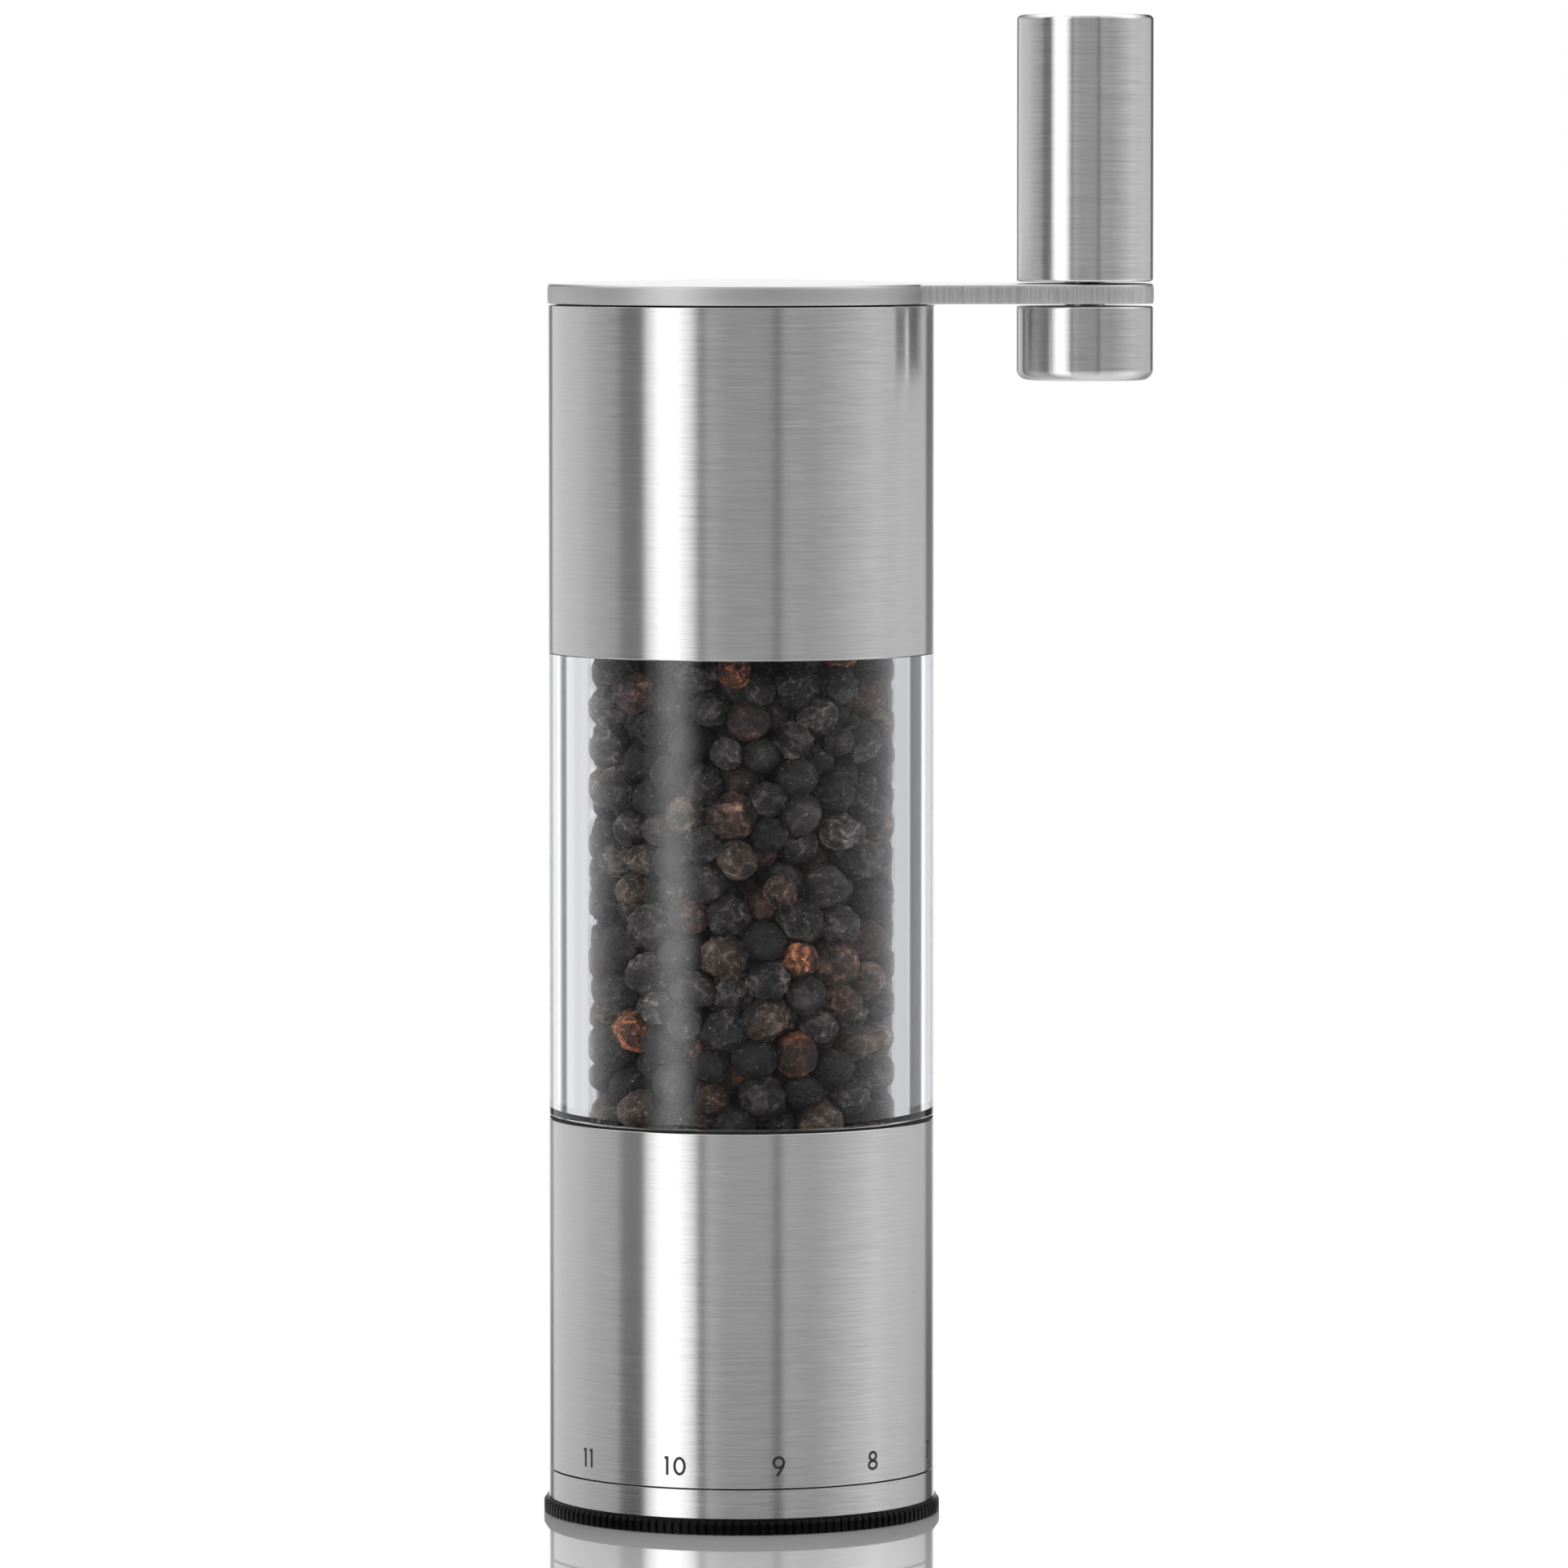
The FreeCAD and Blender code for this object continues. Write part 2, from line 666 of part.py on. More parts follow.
def make_shaft_bush():
    """The round bush on the square shaft that runs in the spider, and the washer below it."""
    base = d["shelf_height"] - 1.3
    top = d["shelf_height"] + d["clip_rise"]
    bush = tube("shaft_bush", Size(1.0), d["bush_radius"], base, top)
    cut(bush, "square_hole", lambda s: closed_outline(s, square(d["socket_side"] - 0.1)))
    tube("thrust_washer", Size(3.4), Size(6.0), base - 0.5, base)


def make_rotor():
    """The ceramic inner burr on its core, pressed down by a spring and held by a screw."""
    foot = d["rotor_foot"]
    zone_top = d["rotor_base"] + d["zone_height"]
    shoulder = foot - d["burr_taper"] * d["zone_height"].value
    neck = Size(6.2)
    bore = d["rotor_bore"]
    rotor = turned(
        "ceramic_rotor",
        d["rotor_base"],
        [
            (bore, d["rotor_base"]),
            (foot, d["rotor_base"]),
            (shoulder, zone_top),
            (neck, d["rotor_top"]),
            (bore, d["rotor_top"]),
        ],
    )
    fine = wedge(shoulder - 0.4, Size(0.1), foot + 0.4, Size(0.5))
    repeat_round(rotor, cut(rotor, "fine_tooth_gap", lambda s: closed_outline(s, fine)), TEETH)
    coarse = wedge(neck - 0.3, Size(0.3), foot, Size(1.6))
    breaker = cut(
        rotor,
        "breaker_flute",
        lambda s: closed_outline(s, coarse),
        d["zone_height"] + 0.4,
        d["rotor_top"] - d["rotor_base"],
    )
    repeat_round(rotor, breaker, FLUTES)

    flange_base = d["rotor_base"] - 1.0
    core_radius = bore - d["press_gap"]
    core_bore = Size(1.0)
    core = turned(
        "rotor_core",
        flange_base,
        [
            (core_bore, flange_base),
            (d["core_flange"], flange_base),
            (d["core_flange"], d["rotor_base"]),
            (core_radius, d["rotor_base"]),
            (core_radius, d["rotor_top"]),
            (core_bore, d["rotor_top"]),
        ],
    )
    cut(core, "square_hole", lambda s: closed_outline(s, square(d["socket_side"] - 0.1)))

    washer_base = flange_base - 0.4
    tube("rotor_washer", Size(1.6), Size(3.8), washer_base, flange_base)
    head_base = washer_base - 1.6
    head_radius = Size(2.75)
    screw_top = d["shaft_base"] + d["shaft_tap"] - 1.5
    turned(
        "rotor_screw",
        head_base,
        [
            (ZERO, head_base),
            (head_radius - 0.55, head_base),
            (head_radius, head_base + 0.6),
            (head_radius, washer_base),
            (d["rotor_screw"], washer_base),
            (d["rotor_screw"], screw_top),
            (ZERO, screw_top),
        ],
    )


def make_rotor_spring():
    """A compression spring between the rotor's core and the thrust washer."""
    gap_top = d["shelf_height"] - 1.8
    half_wire = d["spring_wire"] * 0.5
    body = new_body("rotor_spring", d["rotor_top"] + d["spring_wire"])
    wire = new_sketch(body, "wire", "XZ_Plane")
    bound_circle(wire, half_wire, d["spring_radius"])
    coil = body.newObject("PartDesign::AdditiveHelix", "coil")
    coil.Profile = wire
    coil.ReferenceAxis = (wire, ["V_Axis"])
    coil.Mode = "pitch-height-angle"
    bind(coil, "Pitch", d["spring_pitch"])
    bind(coil, "Height", gap_top - d["rotor_top"] - d["spring_wire"] * 2)
    keep(body, "rotor_spring")


# ---------------------------------------------------------------- crank lid and grip


def make_crank_plate():
    """A round lid and a straight arm in one plate, crowned over the mill, bored for the grip."""
    body = new_body("crank_plate", d["lid_base"])
    sketch = new_sketch(body, "plan", "XY_Plane")
    radius = d["body_radius"].value
    root = d["arm_root"].value
    length = d["crank_length"].value
    tip = d["arm_tip"].value
    root_x = math.sqrt(radius**2 - root**2)
    tip_angle = tangent_angle(length - root_x, root, tip)
    tip_x = length + tip * math.cos(tip_angle)
    tip_y = tip * math.sin(tip_angle)
    root_angle = math.atan2(root, root_x)
    disc = sketch.addGeometry(
        Part.ArcOfCircle(
            Part.Circle(Vector(0, 0, 0), Vector(0, 0, 1), radius),
            root_angle,
            2 * math.pi - root_angle,
        )
    )
    end = sketch.addGeometry(
        Part.ArcOfCircle(
            Part.Circle(Vector(length, 0, 0), Vector(0, 0, 1), tip), -tip_angle, tip_angle
        )
    )
    near = sketch.addGeometry(
        Part.LineSegment(Vector(root_x, -root, 0), Vector(tip_x, -tip_y, 0))
    )
    far = sketch.addGeometry(Part.LineSegment(Vector(tip_x, tip_y, 0), Vector(root_x, root, 0)))
    for first, first_end, second, second_end in (
        (disc, 2, near, 1),
        (near, 2, end, 1),
        (end, 2, far, 1),
        (far, 2, disc, 1),
    ):
        constraint = Sketcher.Constraint("Coincident", first, first_end, second, second_end)
        sketch.addConstraint(constraint)
    pin_point(sketch, disc, 3, ZERO, ZERO)
    pin_point(sketch, end, 3, d["crank_length"], ZERO)
    for arc, size in ((disc, d["body_radius"]), (end, d["arm_tip"])):
        index = sketch.addConstraint(Sketcher.Constraint("Radius", arc, size.value))
        bind(sketch, f"Constraints[{index}]", size)
    for line, start, height in ((near, 1, -d["arm_root"]), (far, 2, d["arm_root"])):
        index = sketch.addConstraint(
            Sketcher.Constraint("DistanceY", -1, 1, line, start, height.value)
        )
        bind(sketch, f"Constraints[{index}]", height)
    plate = body.newObject("PartDesign::Pad", "plate")
    plate.Profile = sketch
    bind(plate, "Length", d["lid_thick"])
    body.Tip = plate
    doc.recompute()
    top_edges = [
        f"Edge{number}"
        for number, edge in enumerate(plate.Shape.Edges, start=1)
        if edge.BoundBox.ZMin > d["lid_thick"].value - 1e-4
    ]
    fillet = body.newObject("PartDesign::Fillet", "top_round")
    fillet.Base = (plate, top_edges)
    bind(fillet, "Radius", d["lid_round"])
    body.Tip = fillet
    make_crown(body)
    cut(body, "bush_hole", lambda s: bound_circle(s, d["bush_radius"], d["crank_length"]))
    screw_bore = d["lid_screw"] + d["press_gap"]
    hole_ring(body, "screw_holes", screw_bore, d["lid_pitch"], ZERO, Size(1.6))
    keep(body, "crank_plate")


def tangent_angle(along, across, radius):
    """The angle on a circle where a line from a point beside it touches, seen from its centre."""
    distance = math.hypot(along, across)
    to_point = math.atan2(across, -along)
    return to_point - math.acos(radius / distance)


def make_crown(body):
    """The shallow spherical crown of the lid, turned about the mill's axis."""
    rim = d["body_radius"].value - d["lid_round"].value
    rise = d["lid_dome"].value
    base = d["lid_thick"].value
    ball = (rim**2 + rise**2) / (2 * rise)
    half_angle = math.asin(rim / ball)
    sketch = new_sketch(body, "crown_sketch", "XZ_Plane")
    arc = Part.ArcOfCircle(
        Part.Circle(Vector(0, base + rise - ball, 0), Vector(0, 0, 1), ball),
        math.pi / 2 - half_angle,
        math.pi / 2,
    )
    overlap = 0.5
    sunk = base - overlap
    crown = sketch.addGeometry(arc)
    corners = [
        Vector(0, base + rise, 0),
        Vector(0, sunk, 0),
        Vector(rim, sunk, 0),
        Vector(rim, base, 0),
    ]
    lines = []
    for start, end in zip(corners, corners[1:]):
        lines.append(sketch.addGeometry(Part.LineSegment(start, end)))
    sketch.addConstraint(Sketcher.Constraint("Coincident", crown, 2, lines[0], 1))
    sketch.addConstraint(Sketcher.Constraint("Coincident", lines[0], 2, lines[1], 1))
    sketch.addConstraint(Sketcher.Constraint("Coincident", lines[1], 2, lines[2], 1))
    sketch.addConstraint(Sketcher.Constraint("Coincident", lines[2], 2, crown, 1))
    pin_point(sketch, lines[0], 1, ZERO, d["lid_thick"] + d["lid_dome"])
    pin_point(sketch, lines[0], 2, ZERO, d["lid_thick"] - overlap)
    pin_point(sketch, lines[2], 1, d["body_radius"] - d["lid_round"], d["lid_thick"] - overlap)
    pin_point(sketch, lines[2], 2, d["body_radius"] - d["lid_round"], d["lid_thick"])
    sketch.addConstraint(Sketcher.Constraint("PointOnObject", crown, 3, -2))
    turn = body.newObject("PartDesign::Revolution", "crown")
    turn.Profile = sketch
    turn.ReferenceAxis = (sketch, ["V_Axis"])
    turn.Angle = WHOLE_TURN
    body.Tip = turn


def make_lid_plug():
    """The plug that centres the lid in the collar, its seal ring, steel socket and screws."""
    outer = d["bore_radius"] - d["run_gap"]
    inner = outer - d["plug_wall"]
    groove = outer - 0.7
    hub = d["plug_hub"]
    insert = d["socket_radius"]
    half_seal = d["seal_thick"] * 0.5 + 0.1
    outline = [
        (ZERO, d["plug_disc"]),
        (insert, d["plug_disc"]),
        (insert, d["socket_base"]),
        (hub, d["socket_base"]),
        (hub, d["plug_disc"]),
        (inner, d["plug_disc"]),
        (inner, d["plug_base"]),
        (outer, d["plug_base"]),
        (outer, d["seal_height"] - half_seal),
        (groove, d["seal_height"] - half_seal),
        (groove, d["seal_height"] + half_seal),
        (outer, d["seal_height"] + half_seal),
        (outer, d["lid_base"]),
        (ZERO, d["lid_base"]),
    ]
    plug = turned("lid_plug", d["socket_base"], outline)
    hole_start = d["plug_disc"] - d["socket_base"]
    hole_ring(plug, "screw_holes", d["lid_screw"] + 0.1, d["lid_pitch"], hole_start, Size(4.0))
    seal_radius = groove + d["seal_thick"] * 0.5
    ring_of_round_section("lid_seal_ring", seal_radius, d["seal_thick"], d["seal_height"])
    socket = tube(
        "drive_socket",
        Size(1.0),
        insert - d["press_gap"],
        d["socket_base"],
        d["plug_disc"] - d["press_gap"],
    )
    cut(socket, "square_hole", lambda s: closed_outline(s, square(d["socket_side"])))
    shank = d["lid_screw"]
    head = d["head_radius"]
    screw_group(
        "lid_screws",
        d["lid_pitch"],
        [
            (head, head + 0.5, d["plug_disc"] - 1.4, d["plug_disc"]),
            (shank, shank, d["plug_disc"], d["lid_base"] + 1.5),
        ],
    )


def make_grip():
    """The steel grip and stub, screwed to one spindle that turns in the arm's bush."""
    centre = d["crank_length"]
    tube(
        "arm_bush",
        d["spindle_radius"] + d["pin_gap"],
        d["bush_radius"],
        d["lid_base"] - d["press_gap"],
        d["lid_base"] + d["lid_thick"] + d["press_gap"],
        offset=centre,
    )
    core_radius = d["grip_radius"] - d["grip_wall"]
    cap_base = d["grip_top"] - d["grip_wall"]
    turned(
        "grip_shell",
        d["grip_base"],
        [
            (core_radius, d["grip_base"]),
            (d["grip_radius"], d["grip_base"]),
            (d["grip_radius"], d["grip_top"]),
            (ZERO, d["grip_top"]),
            (ZERO, cap_base),
            (core_radius, cap_base),
        ],
        [
            (d["grip_radius"], d["grip_base"], d["grip_round"] * 0.5),
            (d["grip_radius"], d["grip_top"], d["grip_round"]),
        ],
        offset=centre,
    )
    core_outside = core_radius - d["press_gap"]
    core_top = cap_base - d["press_gap"]
    bore_top = d["grip_base"] + d["spindle_bore"]
    turned(
        "grip_core",
        d["grip_base"],
        [
            (d["spindle_thread"], d["grip_base"]),
            (core_outside, d["grip_base"]),
            (core_outside, core_top),
            (ZERO, core_top),
            (ZERO, bore_top),
            (d["spindle_thread"], bore_top),
        ],
        offset=centre,
    )
    thread = d["spindle_thread"] - d["press_gap"]
    foot = d["stub_base"] + 2.4
    turned(
        "grip_spindle",
        foot,
        [
            (ZERO, foot),
            (thread, foot),
            (thread, d["stub_top"]),
            (d["spindle_radius"], d["stub_top"]),
            (d["spindle_radius"], d["grip_base"]),
            (thread, d["grip_base"]),
            (thread, bore_top - 0.5),
            (ZERO, bore_top - 0.5),
        ],
        offset=centre,
    )
    turned(
        "grip_stub",
        d["stub_base"],
        [
            (ZERO, d["stub_base"]),
            (d["grip_radius"], d["stub_base"]),
            (d["grip_radius"], d["stub_top"]),
            (d["spindle_thread"], d["stub_top"]),
            (d["spindle_thread"], foot - 0.4),
            (ZERO, foot - 0.4),
        ],
        [
            (d["grip_radius"], d["stub_base"], d["stub_round"]),
            (d["grip_radius"], d["stub_top"], d["grip_round"] * 0.5),
        ],
        offset=centre,
    )


# ---------------------------------------------------------------- checks and output


def check_and_write():
    doc.recompute()
    for thing in doc.Objects:
        if "Invalid" in thing.State or "Error" in thing.State:
            raise RuntimeError(f"{thing.Label} is {thing.State}")
    for thing in subparts:
        shape = thing.Shape
        if shape.isNull() or not shape.isValid() or not shape.Solids:
            raise RuntimeError(f"{thing.Label} has no valid solid")
    os.makedirs("parts", exist_ok=True)
    for thing in subparts:
        thing.Shape.exportStep(f"parts/{thing.Label}.step")
        box = thing.Shape.BoundBox
        print(
            f"{thing.Label:22} {len(thing.Shape.Solids)} solid, {thing.Shape.Volume:9.1f} mm3,"
            f" z {box.ZMin:7.2f} to {box.ZMax:7.2f}"
        )


make_sleeves()
make_window()
make_filler_collar()
make_housing()
make_bearing_spider()
make_peppercorn_charge()
make_knurled_ring()
make_adjusting_ring()
make_stator()
make_shaft()
make_shaft_bush()
make_rotor()
make_rotor_spring()
make_crank_plate()
make_lid_plug()
make_grip()
check_and_write()
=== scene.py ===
"""A crank pepper mill in brushed steel and clear acrylic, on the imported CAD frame.

The script works in millimetres and scales to metres when a mesh is made. Angles round the mill
are measured from the front (-Y), positive towards +X.
"""

import math

import bmesh
import bpy
import numpy as np
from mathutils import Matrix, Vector


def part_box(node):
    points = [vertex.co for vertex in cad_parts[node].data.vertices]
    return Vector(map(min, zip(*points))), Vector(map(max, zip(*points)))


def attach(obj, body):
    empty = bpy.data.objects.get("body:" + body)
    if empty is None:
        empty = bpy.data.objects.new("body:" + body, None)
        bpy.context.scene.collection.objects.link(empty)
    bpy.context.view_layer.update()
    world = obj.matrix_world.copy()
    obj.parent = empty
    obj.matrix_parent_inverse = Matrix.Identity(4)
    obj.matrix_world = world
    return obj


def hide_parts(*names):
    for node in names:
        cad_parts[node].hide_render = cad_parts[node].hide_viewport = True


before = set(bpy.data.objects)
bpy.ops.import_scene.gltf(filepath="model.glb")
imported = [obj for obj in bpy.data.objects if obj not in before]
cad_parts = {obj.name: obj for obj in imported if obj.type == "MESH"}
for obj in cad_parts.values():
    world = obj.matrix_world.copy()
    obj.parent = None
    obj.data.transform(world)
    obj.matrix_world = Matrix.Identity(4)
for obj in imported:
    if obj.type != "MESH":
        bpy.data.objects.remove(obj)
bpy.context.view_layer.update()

MM = 0.001
TINY = 1e-6  # a length under this counts as nothing
SEGMENTS = 288  # facets round a turned piece

# Sizes that pieces share, in mm.
BODY_RADIUS = 24.0
SLEEVE_INSIDE = 23.2
RING_INSIDE = 22.9
BORE_RADIUS = 19.1
GRIP_AXIS = 42.5
GRIP_RADIUS = 8.5


def heights(node):
    """Bottom and top of a CAD node, in mm."""
    low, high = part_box(node)
    return low.z / MM, high.z / MM


# ---------------------------------------------------------------- camera, light and floor


# The photograph's camera: metres, degrees and mm.
CAMERA_PLACE = (0.0, -1.2225, 0.16815)
CAMERA_DIP = 3.6327
CAMERA_TURN = -0.2474
FOCAL_LENGTH = 226.58
SENSOR_WIDTH = 36


def place_camera():
    """Stands the camera in front of the mill, tipped down and turned a little to the right."""
    camera = bpy.data.objects.new("camera", bpy.data.cameras.new("camera"))
    bpy.context.scene.collection.objects.link(camera)
    camera.location = CAMERA_PLACE
    camera.rotation_euler = (math.radians(90 - CAMERA_DIP), 0.0, math.radians(CAMERA_TURN))
    camera.data.sensor_width = SENSOR_WIDTH
    camera.data.lens = FOCAL_LENGTH
    camera.data.clip_start = 0.05
    camera.data.clip_end = 50
    bpy.context.scene.camera = camera


# The studio above and below the mill's level, as (degrees round the mill, brightness): a big
# softbox on the front left, soft walls in front and at both sides, a white strip behind, and
# black flags between them.
STUDIO = [
    (-180, 1.1),
    (-174, 1.0),
    (-168, 0.08),
    (-156, 0.08),
    (-152, 0.42),
    (-108, 0.42),
    (-88, 0.92),
    (-80, 0.95),
    (-78, 0.06),
    (-61.8, 0.07),
    (-60.3, 1.75),
    (-50, 2.05),
    (-32, 2.4),
    (-27.5, 1.9),
    (-26, 0.04),
    (-23, 0.04),
    (-21.4, 1.1),
    (-10, 0.67),
    (0, 0.67),
    (18.4, 0.63),
    (20, 0.06),
    (23.4, 0.04),
    (25.6, 0.88),
    (45, 0.72),
    (66, 1.18),
    (88, 1.55),
    (104, 0.98),
    (135, 0.3),
    (147, 0.02),
    (168, 0.02),
    (175, 1.0),
    (180, 1.1),
]
# The same for directions level with the mill: the softbox on the front left, dim walls at the
# sides, the white strip behind, and a dark front.
STUDIO_LEVEL = [
    (-180, 1.2),
    (-167, 1.15),
    (-161, 0.05),
    (-155, 0.05),
    (-152, 0.8),
    (-110, 0.66),
    (-97, 0.4),
    (-86, 0.15),
    (-79, 0.02),
    (-61, 0.02),
    (-59.7, 0.35),
    (-51, 1.6),
    (-45, 2.15),
    (-42, 2.15),
    (-36, 1.3),
    (-29, 0.3),
    (-27.5, 0.02),
    (-16, 0.04),
    (16, 0.04),
    (22, 0.02),
    (30, 0.04),
    (60, 0.09),
    (76, 0.22),
    (90, 0.4),
    (112, 0.64),
    (142, 0.6),
    (145, 0.03),
    (161, 0.03),
    (164, 1.12),
    (180, 1.2),
]
# A colour ramp holds 0 to 1, so it holds each brightness as a share of the peak.
STUDIO_PEAK = 2.5
CEILING = 1.75
CEILING_FRONT = 0.2  # the share of it over the front
# The heights of a direction, -1 to 1, between which one part of the studio fades into another.
LEVEL_TO_WALLS = (0.13, 0.26)
WALLS_TO_CEILING = (0.42, 0.75)
WALLS_TO_TABLE = (-0.45, -0.8)
# How far back a direction points, -1 to 1, where the dim front of the ceiling starts and ends.
FRONT_TO_MIDDLE = (-0.85, 0.1)


def light_studio():
    """Makes the studio a world light, which the camera itself sees as plain white."""
    world = bpy.data.worlds.new("studio")
    bpy.context.scene.world = world
    world.use_nodes = True
    tree = world.node_tree
    tree.nodes.clear()
    net = Net(tree)
    x, y, z = net.split(net.add("ShaderNodeTexCoord").outputs["Generated"])
    turn = net.math("ARCTAN2", x, net.math("MULTIPLY", y, -1.0))
    turn = net.remap(turn, -math.pi, math.pi, 0.0, 1.0)
    upper, level = (
        net.ramp(
            turn, [((angle + 180) / 360, grey(value / STUDIO_PEAK)) for angle, value in stops]
        )
        for stops in (STUDIO, STUDIO_LEVEL)
    )
    off_level = net.remap(net.math("ABSOLUTE", z), *LEVEL_TO_WALLS, 0.0, 1.0)
    walls = net.scale_colour(net.mix(off_level, level, upper), STUDIO_PEAK)
    ceiling_share = net.remap(y, *FRONT_TO_MIDDLE, CEILING_FRONT, 1.0)
    ceiling = net.mix(ceiling_share, grey(0.0), grey(CEILING))
    light = net.mix(net.remap(z, *WALLS_TO_CEILING, 0.0, 1.0), walls, ceiling)
    light = net.mix(net.remap(z, *WALLS_TO_TABLE, 0.0, 1.0), light, grey(1.0))
    seen = net.add("ShaderNodeLightPath").outputs["Is Camera Ray"]
    background = net.add("ShaderNodeBackground")
    net.link(net.mix(seen, light, grey(1.0)), background.inputs["Color"])
    net.link(background.outputs[0], net.add("ShaderNodeOutputWorld").inputs["Surface"])


# The table, in metres. It reaches this far each way, just under the mill's foot.
FLOOR_REACH = 6.0
FLOOR_DROP = 0.00002
# Its polish seen from very low, and the squared distances from the mill where that starts to
# fade and ends.
POLISH = 0.95
POLISH_FADE = (0.02, 0.12)
# The share of the table left out of what the steel mirrors, and what the clear acrylic leaves
# out besides.
STEEL_SKIPS = 0.68
ACRYLIC_SKIPS = 0.27


def lay_floor():
    """A white table, polished near the mill and only partly there in the mill's reflections."""
    mesh = bpy.data.meshes.new("floor")
    low, high = -FLOOR_REACH, FLOOR_REACH
    square = [(low, low, 0), (high, low, 0), (high, high, 0), (low, high, 0)]
    mesh.from_pydata(square, [], [(0, 1, 2, 3)])
    floor = bpy.data.objects.new("floor", mesh)
    bpy.context.scene.collection.objects.link(floor)
    floor.location.z = -FLOOR_DROP
    material, net, _ = new_material("table")
    matt = net.add("ShaderNodeBsdfDiffuse")
    net.link(grey(0.93), matt.inputs["Color"])
    gloss = net.add("ShaderNodeBsdfGlossy")
    net.link(grey(0.97), gloss.inputs["Color"])
    gloss.inputs["Roughness"].default_value = 0.03
    facing = net.add("ShaderNodeLayerWeight").outputs["Facing"]
    x, y, _ = net.split(net.add("ShaderNodeTexCoord").outputs["Object"])
    away = net.math("ADD", net.math("MULTIPLY", x, x), net.math("MULTIPLY", y, y))
    polish = net.math("MULTIPLY", net.math("MULTIPLY", facing, facing), POLISH)
    polish = net.math("MULTIPLY", polish, net.remap(away, *POLISH_FADE, 1.0, 0.0))
    table = net.blend(polish, matt, gloss)
    path = net.add("ShaderNodeLightPath")
    mirrored = net.math("MULTIPLY", path.outputs["Is Glossy Ray"], STEEL_SKIPS)
    sharply = net.math("MULTIPLY", path.outputs["Is Singular Ray"], ACRYLIC_SKIPS)
    skipped = net.math("ADD", mirrored, sharply)
    shown = net.blend(skipped, table, net.add("ShaderNodeBsdfTransparent"))
    net.link(shown.outputs[0], net.output.inputs["Surface"])
    floor.data.materials.append(material)


# ---------------------------------------------------------------- node helpers


def grey(value):
    return (value,) * 3


class Net:
    """Short names for making and linking shader nodes.

    Where a method takes a value, it can be a number, a colour or another node's output.
    """

    def __init__(self, tree):
        self.tree = tree

    def add(self, kind, **settings):
        node = self.tree.nodes.new(kind)
        for name, value in settings.items():
            setattr(node, name, value)
        return node

    def link(self, value, socket):
        if isinstance(value, bpy.types.NodeSocket):
            self.tree.links.new(value, socket)
        elif isinstance(value, tuple) and len(value) == 3 and len(socket.default_value) == 4:
            socket.default_value = (*value, 1.0)
        else:
            socket.default_value = value

    def split(self, vector):
        node = self.add("ShaderNodeSeparateXYZ")
        self.link(vector, node.inputs[0])
        return node.outputs

    def math(self, operation, first, second=0.0):
        node = self.add("ShaderNodeMath", operation=operation)
        self.link(first, node.inputs[0])
        self.link(second, node.inputs[1])
        return node.outputs[0]

    def remap(self, value, low, high, to_low, to_high, curve="LINEAR"):
        node = self.add("ShaderNodeMapRange", interpolation_type=curve)
        for socket, item in zip(node.inputs, (value, low, high, to_low, to_high)):
            self.link(item, socket)
        return node.outputs[0]

    def ramp(self, value, stops):
        node = self.add("ShaderNodeValToRGB")
        self.link(value, node.inputs[0])
        elements = node.color_ramp.elements
        while len(elements) < len(stops):
            elements.new(0.5)
        for element, (position, colour) in zip(elements, stops):
            element.position = position
            element.color = (*colour, 1.0)
        return node.outputs[0]

    def mix(self, factor, first, second, blend="MIX"):
        """A mix of two colours. Sockets 6 and 7 and output 2 are the node's colour ones."""
        node = self.add("ShaderNodeMix", data_type="RGBA", blend_type=blend)
        self.link(factor, node.inputs["Factor"])
        self.link(first, node.inputs[6])
        self.link(second, node.inputs[7])
        return node.outputs[2]

    def scale_colour(self, colour, amount):
        node = self.add("ShaderNodeVectorMath", operation="SCALE")
        self.link(colour, node.inputs[0])
        node.inputs["Scale"].default_value = amount
        return node.outputs[0]

    def blend(self, factor, first, second):
        """A mix of two shaders."""
        node = self.add("ShaderNodeMixShader")
        self.link(factor, node.inputs[0])
        self.link(first.outputs[0], node.inputs[1])
        self.link(second.outputs[0], node.inputs[2])
        return node

    def place(self, scale=(1, 1, 1), turn=(0, 0, 0)):
        """Object coordinates, scaled and turned."""
        node = self.add("ShaderNodeMapping")
        self.link(self.add("ShaderNodeTexCoord").outputs["Object"], node.inputs["Vector"])
        node.inputs["Scale"].default_value = scale
        node.inputs["Rotation"].default_value = turn
        return node.outputs[0]

    def noise(self, where, scale, detail=2.0, roughness=0.5, output="Fac"):
        node = self.add("ShaderNodeTexNoise")
        self.link(where, node.inputs["Vector"])
        node.inputs["Scale"].default_value = scale
        node.inputs["Detail"].default_value = detail
        node.inputs["Roughness"].default_value = roughness
        return node.outputs[output]

    def cells(self, where, scale, feature="F1"):
        node = self.add("ShaderNodeTexVoronoi", feature=feature)
        self.link(where, node.inputs["Vector"])
        node.inputs["Scale"].default_value = scale
        return node.outputs["Distance"]

    def bump(self, height, strength, depth, under=None):
        node = self.add("ShaderNodeBump")
        node.inputs["Strength"].default_value = strength
        node.inputs["Distance"].default_value = depth
        self.link(height, node.inputs["Height"])
        if under is not None:
            self.link(under, node.inputs["Normal"])
        return node.outputs[0]


def new_material(name, metallic=0.0, roughness=0.4, colour=(0.5, 0.5, 0.5)):
    """A Principled material, its nodes, and its shader."""
    material = bpy.data.materials.new(name)
    material.use_nodes = True
    tree = material.node_tree
    tree.nodes.clear()
    net = Net(tree)
    shader = net.add("ShaderNodeBsdfPrincipled")
    net.output = net.add("ShaderNodeOutputMaterial")
    net.link(shader.outputs[0], net.output.inputs["Surface"])
    shader.inputs["Metallic"].default_value = metallic
    shader.inputs["Roughness"].default_value = roughness
    shader.inputs["Base Color"].default_value = (*colour, 1.0)
    return material, net, shader


